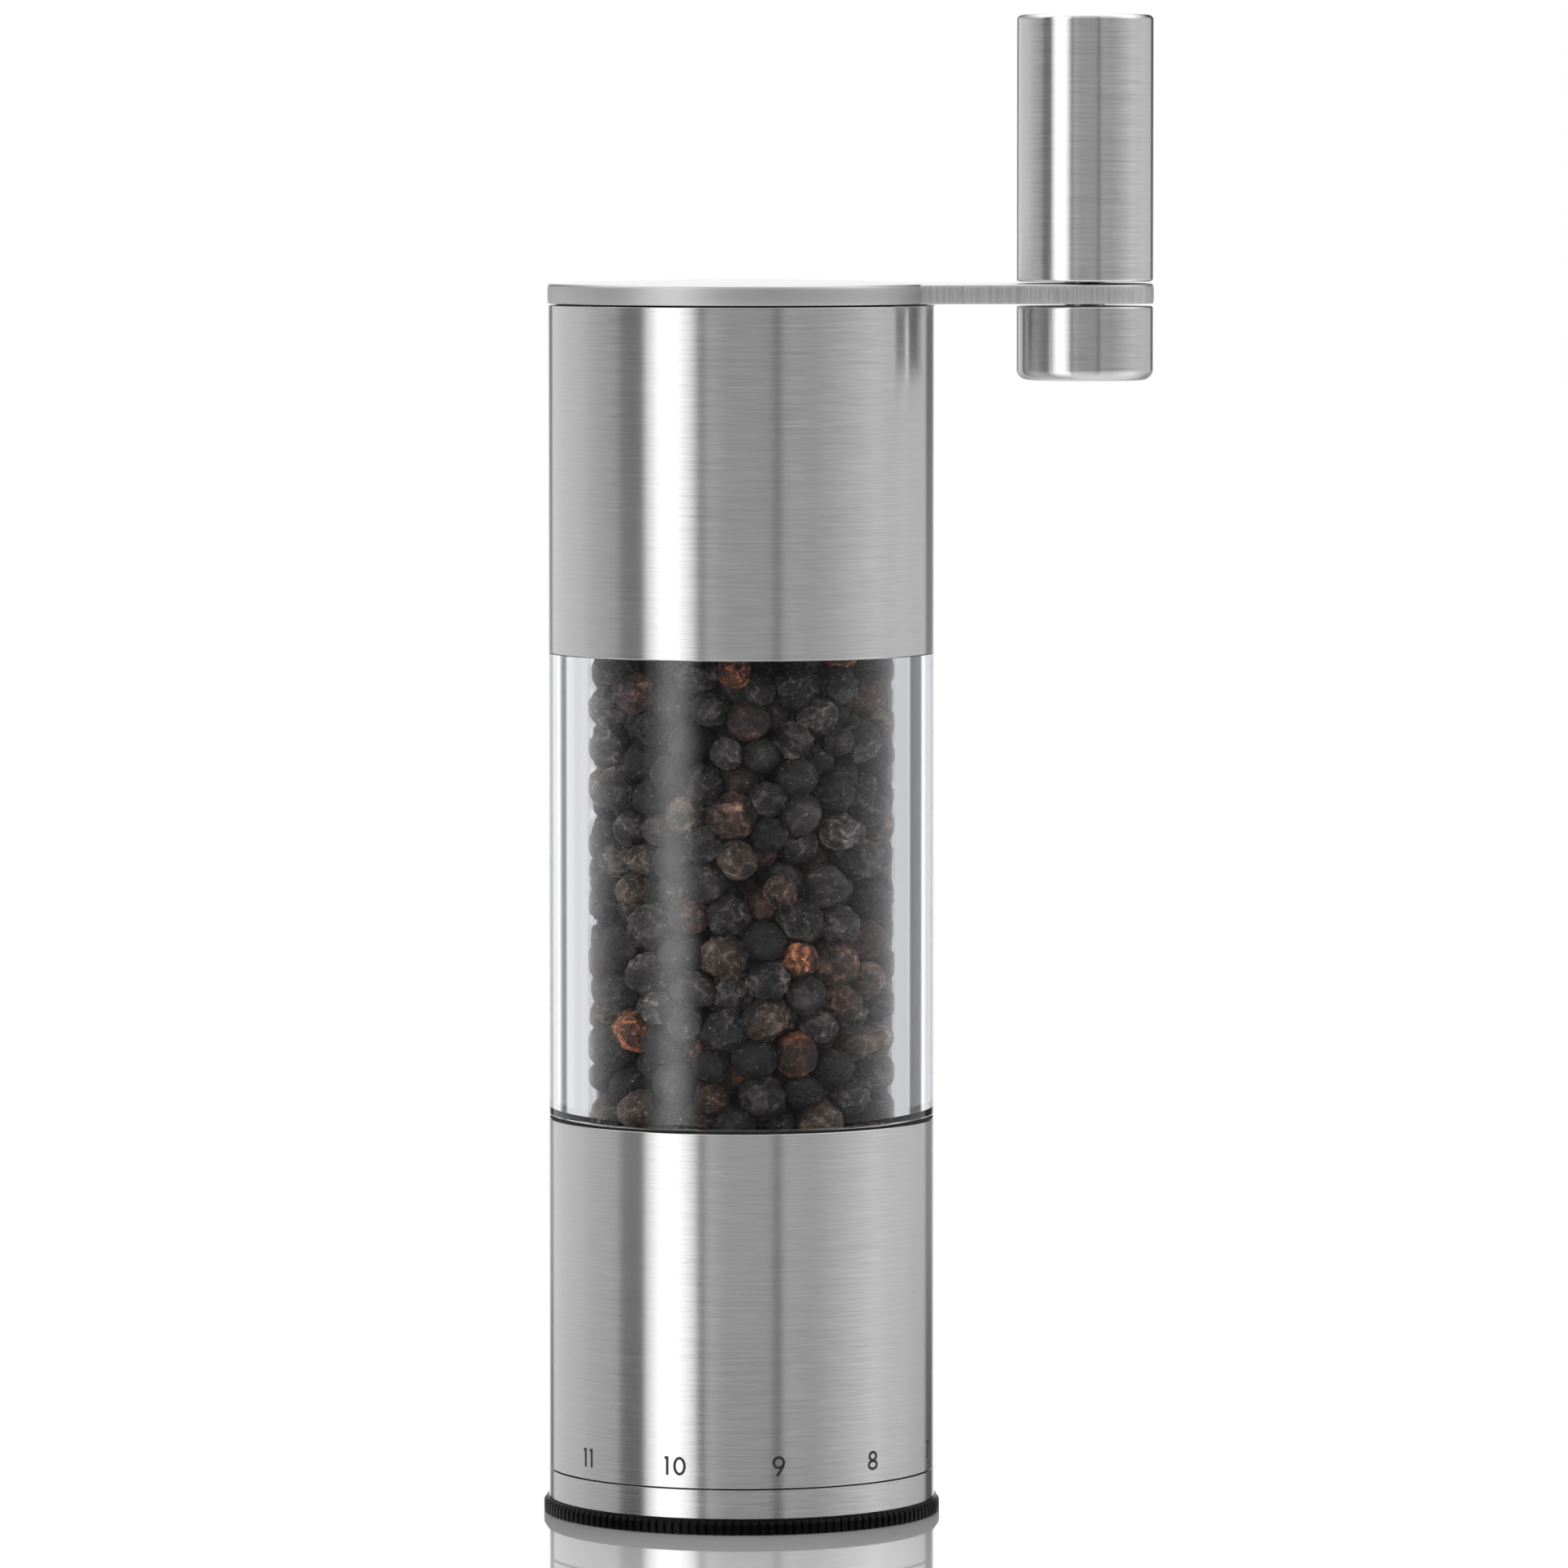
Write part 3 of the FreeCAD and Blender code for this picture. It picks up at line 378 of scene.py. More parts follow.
# ---------------------------------------------------------------- materials


def brushed_steel(name, tone=0.63, tone_spread=0.032, roughness=0.225, roughness_spread=0.04):
    """Steel with fine brush lines round it, along which its tone and roughness vary."""
    grain = (230, 230, 14000)  # how fast the lines vary along each axis, per metre
    material, net, shader = new_material(name, metallic=1.0)
    lines = net.noise(net.place(grain), 1.0, 2.0, 0.6)
    broad = net.noise(net.place(tuple(value * 0.35 for value in grain)), 1.0, 2.0)
    both = net.math("ADD", net.math("MULTIPLY", lines, 0.7), net.math("MULTIPLY", broad, 0.3))
    dark, light = grey(tone - tone_spread), grey(tone + tone_spread)
    net.link(net.ramp(both, [(0.35, dark), (0.65, light)]), shader.inputs["Base Color"])
    rough = net.remap(both, 0.3, 0.7, roughness - roughness_spread, roughness + roughness_spread)
    net.link(rough, shader.inputs["Roughness"])
    net.link(net.bump(lines, 0.025, 0.00001), shader.inputs["Normal"])
    shader.inputs["Anisotropic"].default_value = 0.96
    shader.inputs["Anisotropic Rotation"].default_value = 0.25
    tangent = net.add("ShaderNodeTangent", direction_type="RADIAL", axis="Z")
    net.link(tangent.outputs[0], shader.inputs["Tangent"])
    return material


def satin_steel():
    """The crank plate's steel: brushed along the arm on top, milled upright on the arm's sides."""
    arm_from = 0.0225  # metres from the mill's axis
    material, net, shader = new_material("satin_steel", metallic=1.0)
    grain = net.noise(net.place((9000, 9000, 9000)), 1.0, 2.0)
    marks = net.noise(net.place((3600, 3600, 60)), 1.0, 2.0, 0.6)
    brush = net.noise(net.place((260, 8000, 260)), 1.0, 2.0, 0.6)
    x = net.split(net.add("ShaderNodeTexCoord").outputs["Object"])[0]
    upward = net.split(net.add("ShaderNodeTexCoord").outputs["Normal"])[2]
    steepness = net.math("ABSOLUTE", upward)
    on_side = net.math("LESS_THAN", steepness, 0.3)
    on_arm = net.math("MULTIPLY", net.math("GREATER_THAN", x, arm_from), on_side)
    milled = net.math("MULTIPLY", net.math("SUBTRACT", marks, 0.5), on_arm)
    on_top = net.math("GREATER_THAN", upward, 0.9)
    brushed = net.math("MULTIPLY", net.math("SUBTRACT", brush, 0.5), on_top)
    # Painted light and shade, by which way the steel faces: the sides are painted a little lighter
    # than the rounded edges, and the flat faces lighter still.
    faces = [(0.3, grey(0.38)), (0.35, grey(0.3)), (0.8, grey(0.3)), (0.95, grey(0.5))]
    lines = net.math("ADD", net.math("MULTIPLY", milled, 0.5), net.math("MULTIPLY", brushed, 0.22))
    tone = net.math("ADD", net.math("MULTIPLY", grain, 0.08), lines)
    # Here the painted light and shade of the faces and edges join the tone.
    tone = net.math("ADD", tone, net.ramp(steepness, faces))
    net.link(net.ramp(tone, [(0.3, grey(0.44)), (0.7, grey(0.9))]), shader.inputs["Base Color"])
    rough = net.remap(grain, 0.3, 0.7, 0.31, 0.38)
    rough = net.math("ADD", rough, net.math("MULTIPLY", on_side, 0.12))
    net.link(rough, shader.inputs["Roughness"])
    fine = net.bump(grain, 0.12, 0.00001)
    fine = net.bump(brushed, 0.12, 0.00002, fine)
    net.link(net.bump(milled, 0.7, 0.00008, fine), shader.inputs["Normal"])
    return material


def clear_acrylic():
    """Clear acrylic. Lamps shine straight through it, so the corns inside are lit."""
    material, net, shader = new_material("clear_acrylic", roughness=0.0, colour=(0.965, 0.972, 1.0))
    shader.inputs["Transmission Weight"].default_value = 1.0
    shader.inputs["IOR"].default_value = 1.49
    cast = net.noise(net.place((40, 40, 15)), 1.0, 1.0)
    tints = [(0.3, (0.95, 0.96, 0.99)), (0.7, (0.975, 0.98, 1.0))]
    net.link(net.ramp(cast, tints), shader.inputs["Base Color"])
    lamp = net.add("ShaderNodeLightPath").outputs["Is Shadow Ray"]
    mixed = net.blend(lamp, shader, net.add("ShaderNodeBsdfTransparent"))
    net.link(mixed.outputs[0], net.output.inputs["Surface"])
    return material


def moulded(name, colour, roughness, grain=3000, relief=0.00003, tone=0.15, shine=0.5):
    """Moulded plastic, rubber or ceramic: a fine even grain and slightly uneven colour."""
    material, net, shader = new_material(name)
    shader.inputs["Specular IOR Level"].default_value = shine
    fine = net.noise(net.place((grain,) * 3), 1.0, 2.0)
    cloud = net.noise(net.place((120,) * 3), 1.0, 2.0)
    dark = tuple(value * (1 - tone) for value in colour)
    light = tuple(value * (1 + tone) for value in colour)
    net.link(net.ramp(cloud, [(0.35, dark), (0.65, light)]), shader.inputs["Base Color"])
    rough = net.remap(fine, 0.3, 0.7, roughness - 0.04, roughness + 0.06)
    net.link(rough, shader.inputs["Roughness"])
    net.link(net.bump(fine, 0.3, relief), shader.inputs["Normal"])
    return material


def turned_metal(name, colour, roughness):
    """Machined metal with fine turning lines round the vertical axis."""
    material, net, shader = new_material(name, metallic=1.0)
    lines = net.noise(net.place((150, 150, 5000)), 1.0, 2.0)
    dark = tuple(value * 0.88 for value in colour)
    net.link(net.ramp(lines, [(0.35, dark), (0.65, colour)]), shader.inputs["Base Color"])
    rough = net.remap(lines, 0.3, 0.7, roughness - 0.05, roughness + 0.07)
    net.link(rough, shader.inputs["Roughness"])
    net.link(net.bump(lines, 0.15, 0.00002), shader.inputs["Normal"])
    return material


def peppercorn_skin():
    """Dried pepper: each corn's own colour, mottled and a bit dusty, with raised pale wrinkles.

    The tint attribute holds the colour, and in its alpha how wrinkled the corn is.
    """
    material, net, shader = new_material("peppercorn_skin")
    shader.inputs["Specular IOR Level"].default_value = 0.45
    tint = net.add("ShaderNodeAttribute", attribute_name="tint")
    where = net.place()
    offset = net.scale_colour(net.noise(where, 700, output="Color"), 0.0015)
    bent = net.add("ShaderNodeVectorMath", operation="ADD")
    net.link(where, bent.inputs[0])
    net.link(offset, bent.inputs[1])
    mottle = net.noise(where, 650, 4.0, 0.65)
    pores = net.noise(where, 5200, 3.0, 0.6)
    creases = net.cells(bent.outputs[0], 820, "DISTANCE_TO_EDGE")
    ridges = net.remap(creases, 0.0, 0.14, 1.0, 0.0, "SMOOTHSTEP")
    uneven = net.remap(net.noise(where, 420, 1.0), 0.35, 0.65, 0.25, 1.0)
    ridges = net.math("MULTIPLY", net.math("MULTIPLY", ridges, tint.outputs["Alpha"]), uneven)
    shade = net.remap(mottle, 0.3, 0.7, 0.05, 0.85)
    shade = net.math("ADD", shade, ridges)
    shade = net.math("MULTIPLY", shade, net.remap(pores, 0.3, 0.7, 0.8, 1.2))
    colour = net.scale_colour(net.mix(1.0, tint.outputs["Color"], shade, "MULTIPLY"), 2.0)
    specks = net.math("LESS_THAN", net.cells(where, 1150), 0.15)
    dust = net.math("MULTIPLY", specks, net.math("GREATER_THAN", mottle, 0.52))
    dust = net.math("MULTIPLY", dust, 0.8)
    net.link(net.mix(dust, colour, (0.4, 0.37, 0.33)), shader.inputs["Base Color"])
    net.link(net.remap(pores, 0.3, 0.7, 0.45, 0.7), shader.inputs["Roughness"])
    normal = net.bump(pores, 0.5, 0.0001)
    normal = net.bump(ridges, 1.0, 0.0004, normal)
    net.link(net.bump(mottle, 0.8, 0.0004, normal), shader.inputs["Normal"])
    return material


# ---------------------------------------------------------------- the mill's metal and window


def partway(start, end, part):
    """The point that part of the way from one (x, y) point to another."""
    return start[0] + (end[0] - start[0]) * part, start[1] + (end[1] - start[1]) * part


def band(first, second, count):
    """Faces between two rings of count vertices, given the number of each ring's first vertex."""
    faces = []
    for step in range(count):
        following = (step + 1) % count
        faces.append((first + step, first + following, second + following, second + step))
    return faces


def rounded(outline, steps=6, hold=0.06):
    """Rounds an outline's corners. Each corner is (radius, height, rounding), in mm.

    A point is added a little way along each side of a rounding, so that the walls stay straight.
    """
    points = []
    count = len(outline)
    for index, (radius, height, rounding) in enumerate(outline):
        corner = Vector((radius, height))
        if rounding == 0:
            points.append(tuple(corner))
            continue
        before = (Vector(outline[index - 1][:2]) - corner).normalized()
        after = (Vector(outline[(index + 1) % count][:2]) - corner).normalized()
        half = before.angle(after) / 2
        reach = rounding / math.tan(half)
        centre = corner + (before + after).normalized() * (rounding / math.sin(half))
        start, end = corner + before * reach, corner + after * reach
        points.append(tuple(start + before * hold))
        for step in range(steps + 1):
            arm = (start - centre).lerp(end - centre, step / steps).normalized() * rounding
            points.append(tuple(centre + arm))
        points.append(tuple(end + after * hold))
    return points


def finish_piece(name, vertices, faces, body, material, replaces=(), sharp=32):
    """Makes a mesh object from points in mm, shades it, and puts it on its body."""
    mesh = bpy.data.meshes.new(name)
    mesh.from_pydata([tuple(MM * value for value in vertex) for vertex in vertices], [], faces)
    bm = bmesh.new()
    bm.from_mesh(mesh)
    bmesh.ops.recalc_face_normals(bm, faces=bm.faces)
    bm.to_mesh(mesh)
    bm.free()
    mesh.shade_smooth()
    mesh.set_sharp_from_angle(angle=math.radians(sharp))
    mesh.materials.append(material)
    piece = bpy.data.objects.new(name, mesh)
    bpy.context.scene.collection.objects.link(piece)
    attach(piece, body)
    if replaces:
        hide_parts(*replaces)
    return piece


def lathe_mesh(profile, centre_x=0.0):
    """Vertices and faces of a closed outline of (radius, height) points, turned about an axis.

    The axis stands at centre_x. An outline point at radius 0 becomes a single vertex.
    """
    vertices, rings, faces = [], [], []
    for radius, height in profile:
        if radius < TINY:
            rings.append([len(vertices)] * SEGMENTS)
            vertices.append((centre_x, 0.0, height))
            continue
        rings.append(list(range(len(vertices), len(vertices) + SEGMENTS)))
        for step in range(SEGMENTS):
            turn = 2 * math.pi * step / SEGMENTS
            vertices.append((centre_x + radius * math.cos(turn), radius * math.sin(turn), height))
    for lower, upper in zip(rings, rings[1:] + rings[:1]):
        for step in range(SEGMENTS):
            following = (step + 1) % SEGMENTS
            corners = [lower[step], lower[following], upper[following], upper[step]]
            corners = list(dict.fromkeys(corners))
            if len(corners) > 2:
                faces.append(corners)
    return vertices, faces


def lathe(name, outline, body, material, replaces=(), centre_x=0.0):
    """A turned piece, from an outline of (radius, height, rounding) corners."""
    vertices, faces = lathe_mesh(rounded(outline), centre_x)
    return finish_piece(name, vertices, faces, body, material, replaces)


def make_sleeves(steel):
    """The two sleeves and the adjusting ring. The lower sleeve nearly meets the ring."""
    for name, body, inside, low_round, high_round in (
        ("upper_sleeve", "mill_body", SLEEVE_INSIDE, 0.1, 0.08),
        ("lower_sleeve", "mill_body", SLEEVE_INSIDE, 0.03, 0.12),
        ("adjusting_ring_shell", "adjusting_ring", RING_INSIDE, 0.12, 0.03),
    ):
        low, high = heights(name)
        outline = [
            (inside, low, 0.0),
            (BODY_RADIUS, low, low_round),
            (BODY_RADIUS, high, high_round),
            (inside, high, 0.0),
        ]
        lathe(f"{name}_turned", outline, body, steel, (name,))


def make_window(acrylic):
    """The thick clear tube, turned down where it enters the sleeves."""
    foot, head = heights("acrylic_tube")
    base = heights("window_gasket")[1]
    top = heights("upper_sleeve")[0]
    neck, wall = 23.1, 23.95
    outline = [
        (BORE_RADIUS, foot, 0.2),
        (neck, foot, 0.2),
        (neck, base, 0.0),
        (wall, base, 0.3),
        (wall, top, 0.1),
        (neck, top, 0.0),
        (neck, head, 0.2),
        (BORE_RADIUS, head, 0.2),
    ]
    lathe("window_tube", outline, "mill_body", acrylic, ("acrylic_tube",))


def make_grip(steel, stub_steel):
    """The hollow grip above the arm, and the solid stub under it."""
    low, high = heights("grip_shell")
    hole, inside = 2.6, 7.6
    roof, floor = high - 1.2, low + 0.6
    hollow = [
        (hole, low, 0.0),
        (GRIP_RADIUS, low, 0.3),
        (GRIP_RADIUS, high, 0.6),
        (0.0, high, 0.0),
        (0.0, roof, 0.0),
        (inside, roof, 0.0),
        (inside, floor, 0.0),
        (hole, floor, 0.0),
    ]
    lathe("grip_turned", hollow, "grip", steel, ("grip_shell",), GRIP_AXIS)
    low, high = heights("grip_stub")
    stub = [(0.0, low, 0.0), (GRIP_RADIUS, low, 1.3), (GRIP_RADIUS, high, 0.3), (0.0, high, 0.0)]
    lathe("stub_turned", stub, "grip", stub_steel, ("grip_stub",), GRIP_AXIS)


def make_knurled_ring(plastic):
    """The black ring under the mill: upright ribs under a smooth lip, and the wall inside.

    Both outlines are of (radius, height). A rib stands out of the groove between ribs.
    """
    groove, ribs, per_rib = 24.25, 144, 12
    rib_share, rib_slope = 0.82, 0.22  # of half a rib's pitch
    lip = 1.9
    outer = [
        (24.3, 0.0),
        (24.5, 0.03),
        (24.6, 0.14),
        (24.6, 0.7),
        (24.6, lip - 0.6),
        (24.56, lip - 0.5),
        (24.27, lip - 0.16),
        (groove, lip - 0.12),
        (groove, lip - 0.03),
        (24.22, lip),
    ]
    inner = [
        (RING_INSIDE, lip),
        (RING_INSIDE, 11.5),
        (20.6, 11.5),
        (20.6, 10.5),
        (21.3, 10.0),
        (21.3, lip),
        (17.5, lip),
        (17.5, 0.0),
    ]
    segments = ribs * per_rib
    vertices, faces = [], []
    for radius, height in outer + inner:
        for step in range(segments):
            turn = 2 * math.pi * step / segments
            across = abs((step / per_rib) % 1.0 - 0.5) * 2
            rib = min(max((rib_share - across) / rib_slope, 0.0), 1.0)
            here = min(radius, groove + (radius - groove) * rib) if radius > groove else radius
            vertices.append((here * math.cos(turn), here * math.sin(turn), height))
    count = len(outer) + len(inner)
    for level in range(count):
        faces += band(level * segments, (level + 1) % count * segments, segments)
    finish_piece(
        "knurled_ring_ribbed",
        vertices,
        faces,
        "adjusting_ring",
        plastic,
        ("knurled_base_ring",),
        sharp=40,
    )


def make_plate(steel):
    """The lid and its arm in one plate with rounded edges, a hole for the grip, and a low crown.

    The arm is 2 * root wide where it leaves the lid, and ends in an arc of radius tip.
    """
    low, high = heights("crank_plate")
    crown, root, tip, hole = 0.45, 9.2, 8.55, 4.05
    lid_steps, side_steps, tip_steps, hole_steps, crown_steps = 300, 24, 96, 72, 24
    flat = high - crown
    root_x = math.sqrt(BODY_RADIUS**2 - root**2)
    span = math.hypot(GRIP_AXIS - root_x, root)
    lean = math.atan2(root, GRIP_AXIS - root_x)
    tip_angle = math.pi - lean - math.acos(tip / span)
    root_angle = math.atan2(root, root_x)

    points, normals = [], []

    def put(x, y, facing):
        points.append((x, y))
        normals.append((math.cos(facing), math.sin(facing)))

    for step in range(lid_steps + 1):
        turn = root_angle + (2 * math.pi - 2 * root_angle) * step / lid_steps
        put(BODY_RADIUS * math.cos(turn), BODY_RADIUS * math.sin(turn), turn)
    start = (root_x, -root)
    end = (GRIP_AXIS + tip * math.cos(tip_angle), -tip * math.sin(tip_angle))
    for step in range(side_steps + 1):
        put(*partway(start, end, step / side_steps), -tip_angle)
    for step in range(1, tip_steps):
        turn = -tip_angle + 2 * tip_angle * step / tip_steps
        put(GRIP_AXIS + tip * math.cos(turn), tip * math.sin(turn), turn)
    for step in range(side_steps + 1):
        put(*partway((end[0], -end[1]), (start[0], -start[1]), step / side_steps), tip_angle)

    # The inset and height of each ring of the plate's edge, from the underside up.
    levels = [(2.0, low), (0.22, low)]
    levels += ring_arc(0.16, low + 0.12, 0.12, -90, 0)
    levels += [(0.02, low + 0.3), (0.0, low + 0.8), (0.0, low + 1.2), (0.015, flat - 0.7)]
    levels += ring_arc(0.45, flat - 0.4, 0.4, 0, 90)
    levels += [(0.5, flat), (2.0, flat)]

    count = len(points)
    vertices, faces = [], []
    for inset, height in levels:
        for (x, y), (nx, ny) in zip(points, normals):
            vertices.append((x - nx * inset, y - ny * inset, height))
    for level in range(len(levels) - 1):
        faces += band(level * count, (level + 1) * count, count)

    bore = []
    for height in (low, flat):
        bore.append(len(vertices))
        for step in range(hole_steps):
            turn = 2 * math.pi * step / hole_steps
            vertices.append((GRIP_AXIS + hole * math.cos(turn), hole * math.sin(turn), height))
    faces += band(bore[0], bore[1], hole_steps)
    faces += fill_between(vertices, range(0, count), range(bore[0], bore[0] + hole_steps))
    last = (len(levels) - 1) * count
    faces += fill_between(vertices, range(last, last + count), range(bore[1], bore[1] + hole_steps))

    cap_radius = 23.6
    cap = [(0.0, flat - 0.3), (23.55, flat - 0.3), (cap_radius, flat)]
    for step in range(1, crown_steps):
        radius = cap_radius * (1 - step / crown_steps)
        cap.append((radius, flat + crown * (1 - (radius / cap_radius) ** 2)))
    cap.append((0.0, high))
    cap_vertices, cap_faces = lathe_mesh(cap)
    offset = len(vertices)
    vertices += cap_vertices
    faces += [tuple(index + offset for index in face) for face in cap_faces]
    finish_piece(
        "crank_plate_rounded",
        vertices,
        faces,
        "crank_lid",
        steel,
        ("crank_plate",),
    )


def ring_arc(inset, height, radius, start, end, steps=5):
    """Insets and heights round an edge, from one angle to another about its centre, in degrees."""
    points = []
    for step in range(steps + 1):
        turn = math.radians(start + (end - start) * step / steps)
        points.append((inset - radius * math.cos(turn), height + radius * math.sin(turn)))
    return points


def fill_between(vertices, outer, inner):
    """Triangles between an outer and an inner loop that lie in one plane."""
    bm = bmesh.new()
    numbers = {}
    edges = []
    for loop in (list(outer), list(inner)):
        made = []
        for number in loop:
            vertex = bm.verts.new(vertices[number])
            numbers[vertex] = number
            made.append(vertex)
        edges += [bm.edges.new(pair) for pair in zip(made, made[1:] + made[:1])]
    bmesh.ops.triangle_fill(bm, edges=edges, use_beauty=True)
    faces = [tuple(numbers[vertex] for vertex in face.verts) for face in bm.faces]
    bm.free()
    return faces


# ---------------------------------------------------------------- dial


# The dial, in degrees round the mill: where its 9 is, and from each setting to the next.
DIAL_NINE = 10.9
DIAL_STEP = 31.3
SETTING_SHOWN = 4
# The ink starts inside the steel and stands this far from the axis, in mm.
INK_INSIDE = 23.9
INK_OUTSIDE = 24.02


def arc(centre, radii, start, end, steps=28):
    """Points on an ellipse from one angle to another, in degrees from +x."""
    points = []
    for step in range(steps + 1):
        turn = math.radians(start + (end - start) * step / steps)
        across, up = radii[0] * math.cos(turn), radii[1] * math.sin(turn)
        points.append((centre[0] + across, centre[1] + up))
    return points


def numeral_strokes():
    """Centre lines of the dial's digits: x across and y up from the baseline, in mm."""
    one = [[(0.0, 0.0), (0.0, 2.3)], [(0.05, 2.2), (-0.36, 2.08)]]
    nine = [arc((0.0, 1.68), (0.63, 0.63), 0, 360), [(0.6, 1.5), (0.42, 1.0), (-0.2, 0.03)]]
    six = [[(-x, 2.31 - y) for x, y in stroke] for stroke in nine]
    return {
        "0": [arc((0.0, 1.15), (0.645, 0.98), 0, 360)],
        "1": one,
        "2": [arc((0.0, 1.6), (0.56, 0.55), 165, -35, 20) + [(-0.68, 0.17), (0.72, 0.17)]],
        "3": [
            arc((0.0, 1.68), (0.46, 0.45), 150, -90, 18)
            + arc((0.0, 0.68), (0.56, 0.55), 90, -150, 20)
        ],
        "4": [[(0.35, 0.0), (0.35, 2.25), (-0.72, 0.6), (0.75, 0.6)]],
        "5": [
            [(0.55, 2.13), (-0.32, 2.13), (-0.45, 1.3)]
            + arc((-0.02, 0.78), (0.64, 0.62), 120, -140, 22)
        ],
        "6": six,
        "7": [[(-0.66, 2.13), (0.62, 2.13), (-0.3, 0.0)]],
        "8": [arc((0.0, 0.65), (0.645, 0.49), 0, 360), arc((0.0, 1.72), (0.54, 0.5), 0, 360)],
        "9": nine,
    }


def subdivided(stroke, step=0.12):
    """The same stroke, with points no further apart than the step, in mm."""
    points = [stroke[0]]
    for start, end in zip(stroke, stroke[1:]):
        pieces = max(1, math.ceil(math.dist(start, end) / step))
        for piece in range(1, pieces + 1):
            points.append(partway(start, end, piece / pieces))
    return points


def ribbon(stroke, width, angle, base, vertices, faces):
    """Adds one stroke, wrapped on the sleeve, standing just proud of it."""
    points = subdivided(stroke)
    last = len(points) - 1
    closed = math.dist(points[0], points[-1]) < TINY
    rows = []
    for index, (x, y) in enumerate(points):
        if closed:
            before = points[index - 1 if index > 0 else last - 1]
            after = points[index + 1 if index < last else 1]
        else:
            before, after = points[max(index - 1, 0)], points[min(index + 1, last)]
        way = Vector((after[0] - before[0], after[1] - before[1])).normalized()
        row = []
        for side, radius in (
            (-1, INK_INSIDE),
            (-1, INK_OUTSIDE),
            (1, INK_OUTSIDE),
            (1, INK_INSIDE),
        ):
            across = x - way.y * side * width / 2
            up = y + way.x * side * width / 2
            turn = math.radians(angle) + across / BODY_RADIUS
            row.append(len(vertices))
            vertices.append((radius * math.sin(turn), -radius * math.cos(turn), base + up))
        rows.append(row)
    for first, second in zip(rows, rows[1:]):
        for corner in range(4):
            other = (corner + 1) % 4
            faces.append((first[corner], first[other], second[other], second[corner]))
    if not closed:
        faces.append(tuple(rows[0]))
        faces.append(tuple(reversed(rows[-1])))


def dial_angle(setting):
    return DIAL_NINE + (9 - setting) * DIAL_STEP


def make_dial(ink):
    """The settings 1 to 11 round the foot of the lower sleeve, and the ring's index line."""
    strokes = numeral_strokes()
    base = heights("lower_sleeve")[0] + 1.5
    stroke_width, line_width = 0.34, 0.3
    vertices, faces = [], []
    for setting in range(1, 12):
        angle = dial_angle(setting)
        digits = str(setting)
        gap = 1.2 if digits == "11" else 1.6
        for place, digit in enumerate(digits):
            shift = (place - (len(digits) - 1) / 2) * gap
            for stroke in strokes[digit]:
                moved = [(x + shift, y) for x, y in stroke]
                ribbon(moved, stroke_width, angle, base, vertices, faces)
    finish_piece("dial_numbers", vertices, faces, "mill_body", ink)
    vertices, faces = [], []
    ring_low, ring_high = heights("adjusting_ring_shell")
    line = [(0, 0.9), (0, ring_high - ring_low - 0.3)]
    ribbon(line, line_width, dial_angle(SETTING_SHOWN), ring_low, vertices, faces)
    finish_piece("index_line", vertices, faces, "adjusting_ring", ink)


# ---------------------------------------------------------------- peppercorns

# The heap, in mm: its bottom and top, the room left round the shaft, and how far out or how
# near the top a corn has to be to show.
CORN_FLOOR = 44.0
CORN_CEILING = 111.6
SHAFT_ROOM = 3.4
SHOWS_BEYOND = 12.8
SHOWS_ABOVE = CORN_CEILING - 7
FULL_TURN = 6.28  # the range of the random phases

NEAR_BLACK = np.array([1.14, 1.0, 0.94])
DUSTY = np.array([0.09, 0.08, 0.073])
BROWN = np.array([0.11, 0.08, 0.058])
RUSTY_BASE, RUSTY = np.array([0.04, 0.026, 0.021]), np.array([0.12, 0.065, 0.05])
RED_BASE, RED = np.array([0.045, 0.022, 0.015]), np.array([0.22, 0.082, 0.038])


def pack_corns(rng, count=800):
    """Centres and radii of corns poured round the shaft, pushed apart until they only touch."""
    margin, passes, squeeze, push, wall_gap = 2.5, 260, 0.97, 0.42, 0.05
    radii = np.clip(rng.normal(2.35, 0.24, count), 1.8, 2.9)
    turns = rng.uniform(0, 2 * math.pi, count)
    out = np.sqrt(rng.uniform((SHAFT_ROOM + margin) ** 2, (BORE_RADIUS - margin) ** 2, count))
    up = rng.uniform(CORN_FLOOR + margin, CORN_CEILING - margin, count)
    centres = np.column_stack([out * np.cos(turns), out * np.sin(turns), up])
    wanted = radii[:, None] + radii[None, :]
    far = np.eye(count) * 1e3  # keeps a corn from meeting itself
    for _ in range(passes):
        apart = centres[:, None, :] - centres[None, :, :]
        distance = np.sqrt((apart**2).sum(axis=2)) + far
        overlap = np.clip(wanted * squeeze - distance, 0.0, None)
        centres += push * ((overlap / distance)[:, :, None] * apart).sum(axis=1)
        reach = np.hypot(centres[:, 0], centres[:, 1])
        room = np.clip(reach, SHAFT_ROOM + radii, BORE_RADIUS - wall_gap - radii)
        centres[:, :2] *= (room / reach)[:, None]
        centres[:, 2] = np.clip(centres[:, 2], CORN_FLOOR + radii, CORN_CEILING - radii)
    return centres, radii


def unit_ball(subdivisions):
    """Points and triangles of a ball of radius 1."""
    bm = bmesh.new()
    bmesh.ops.create_icosphere(bm, subdivisions=subdivisions, radius=1.0)
    points = np.array([vertex.co for vertex in bm.verts])
    faces = np.array([[vertex.index for vertex in face.verts] for face in bm.faces])
    bm.free()
    return points / np.linalg.norm(points, axis=1)[:, None], faces


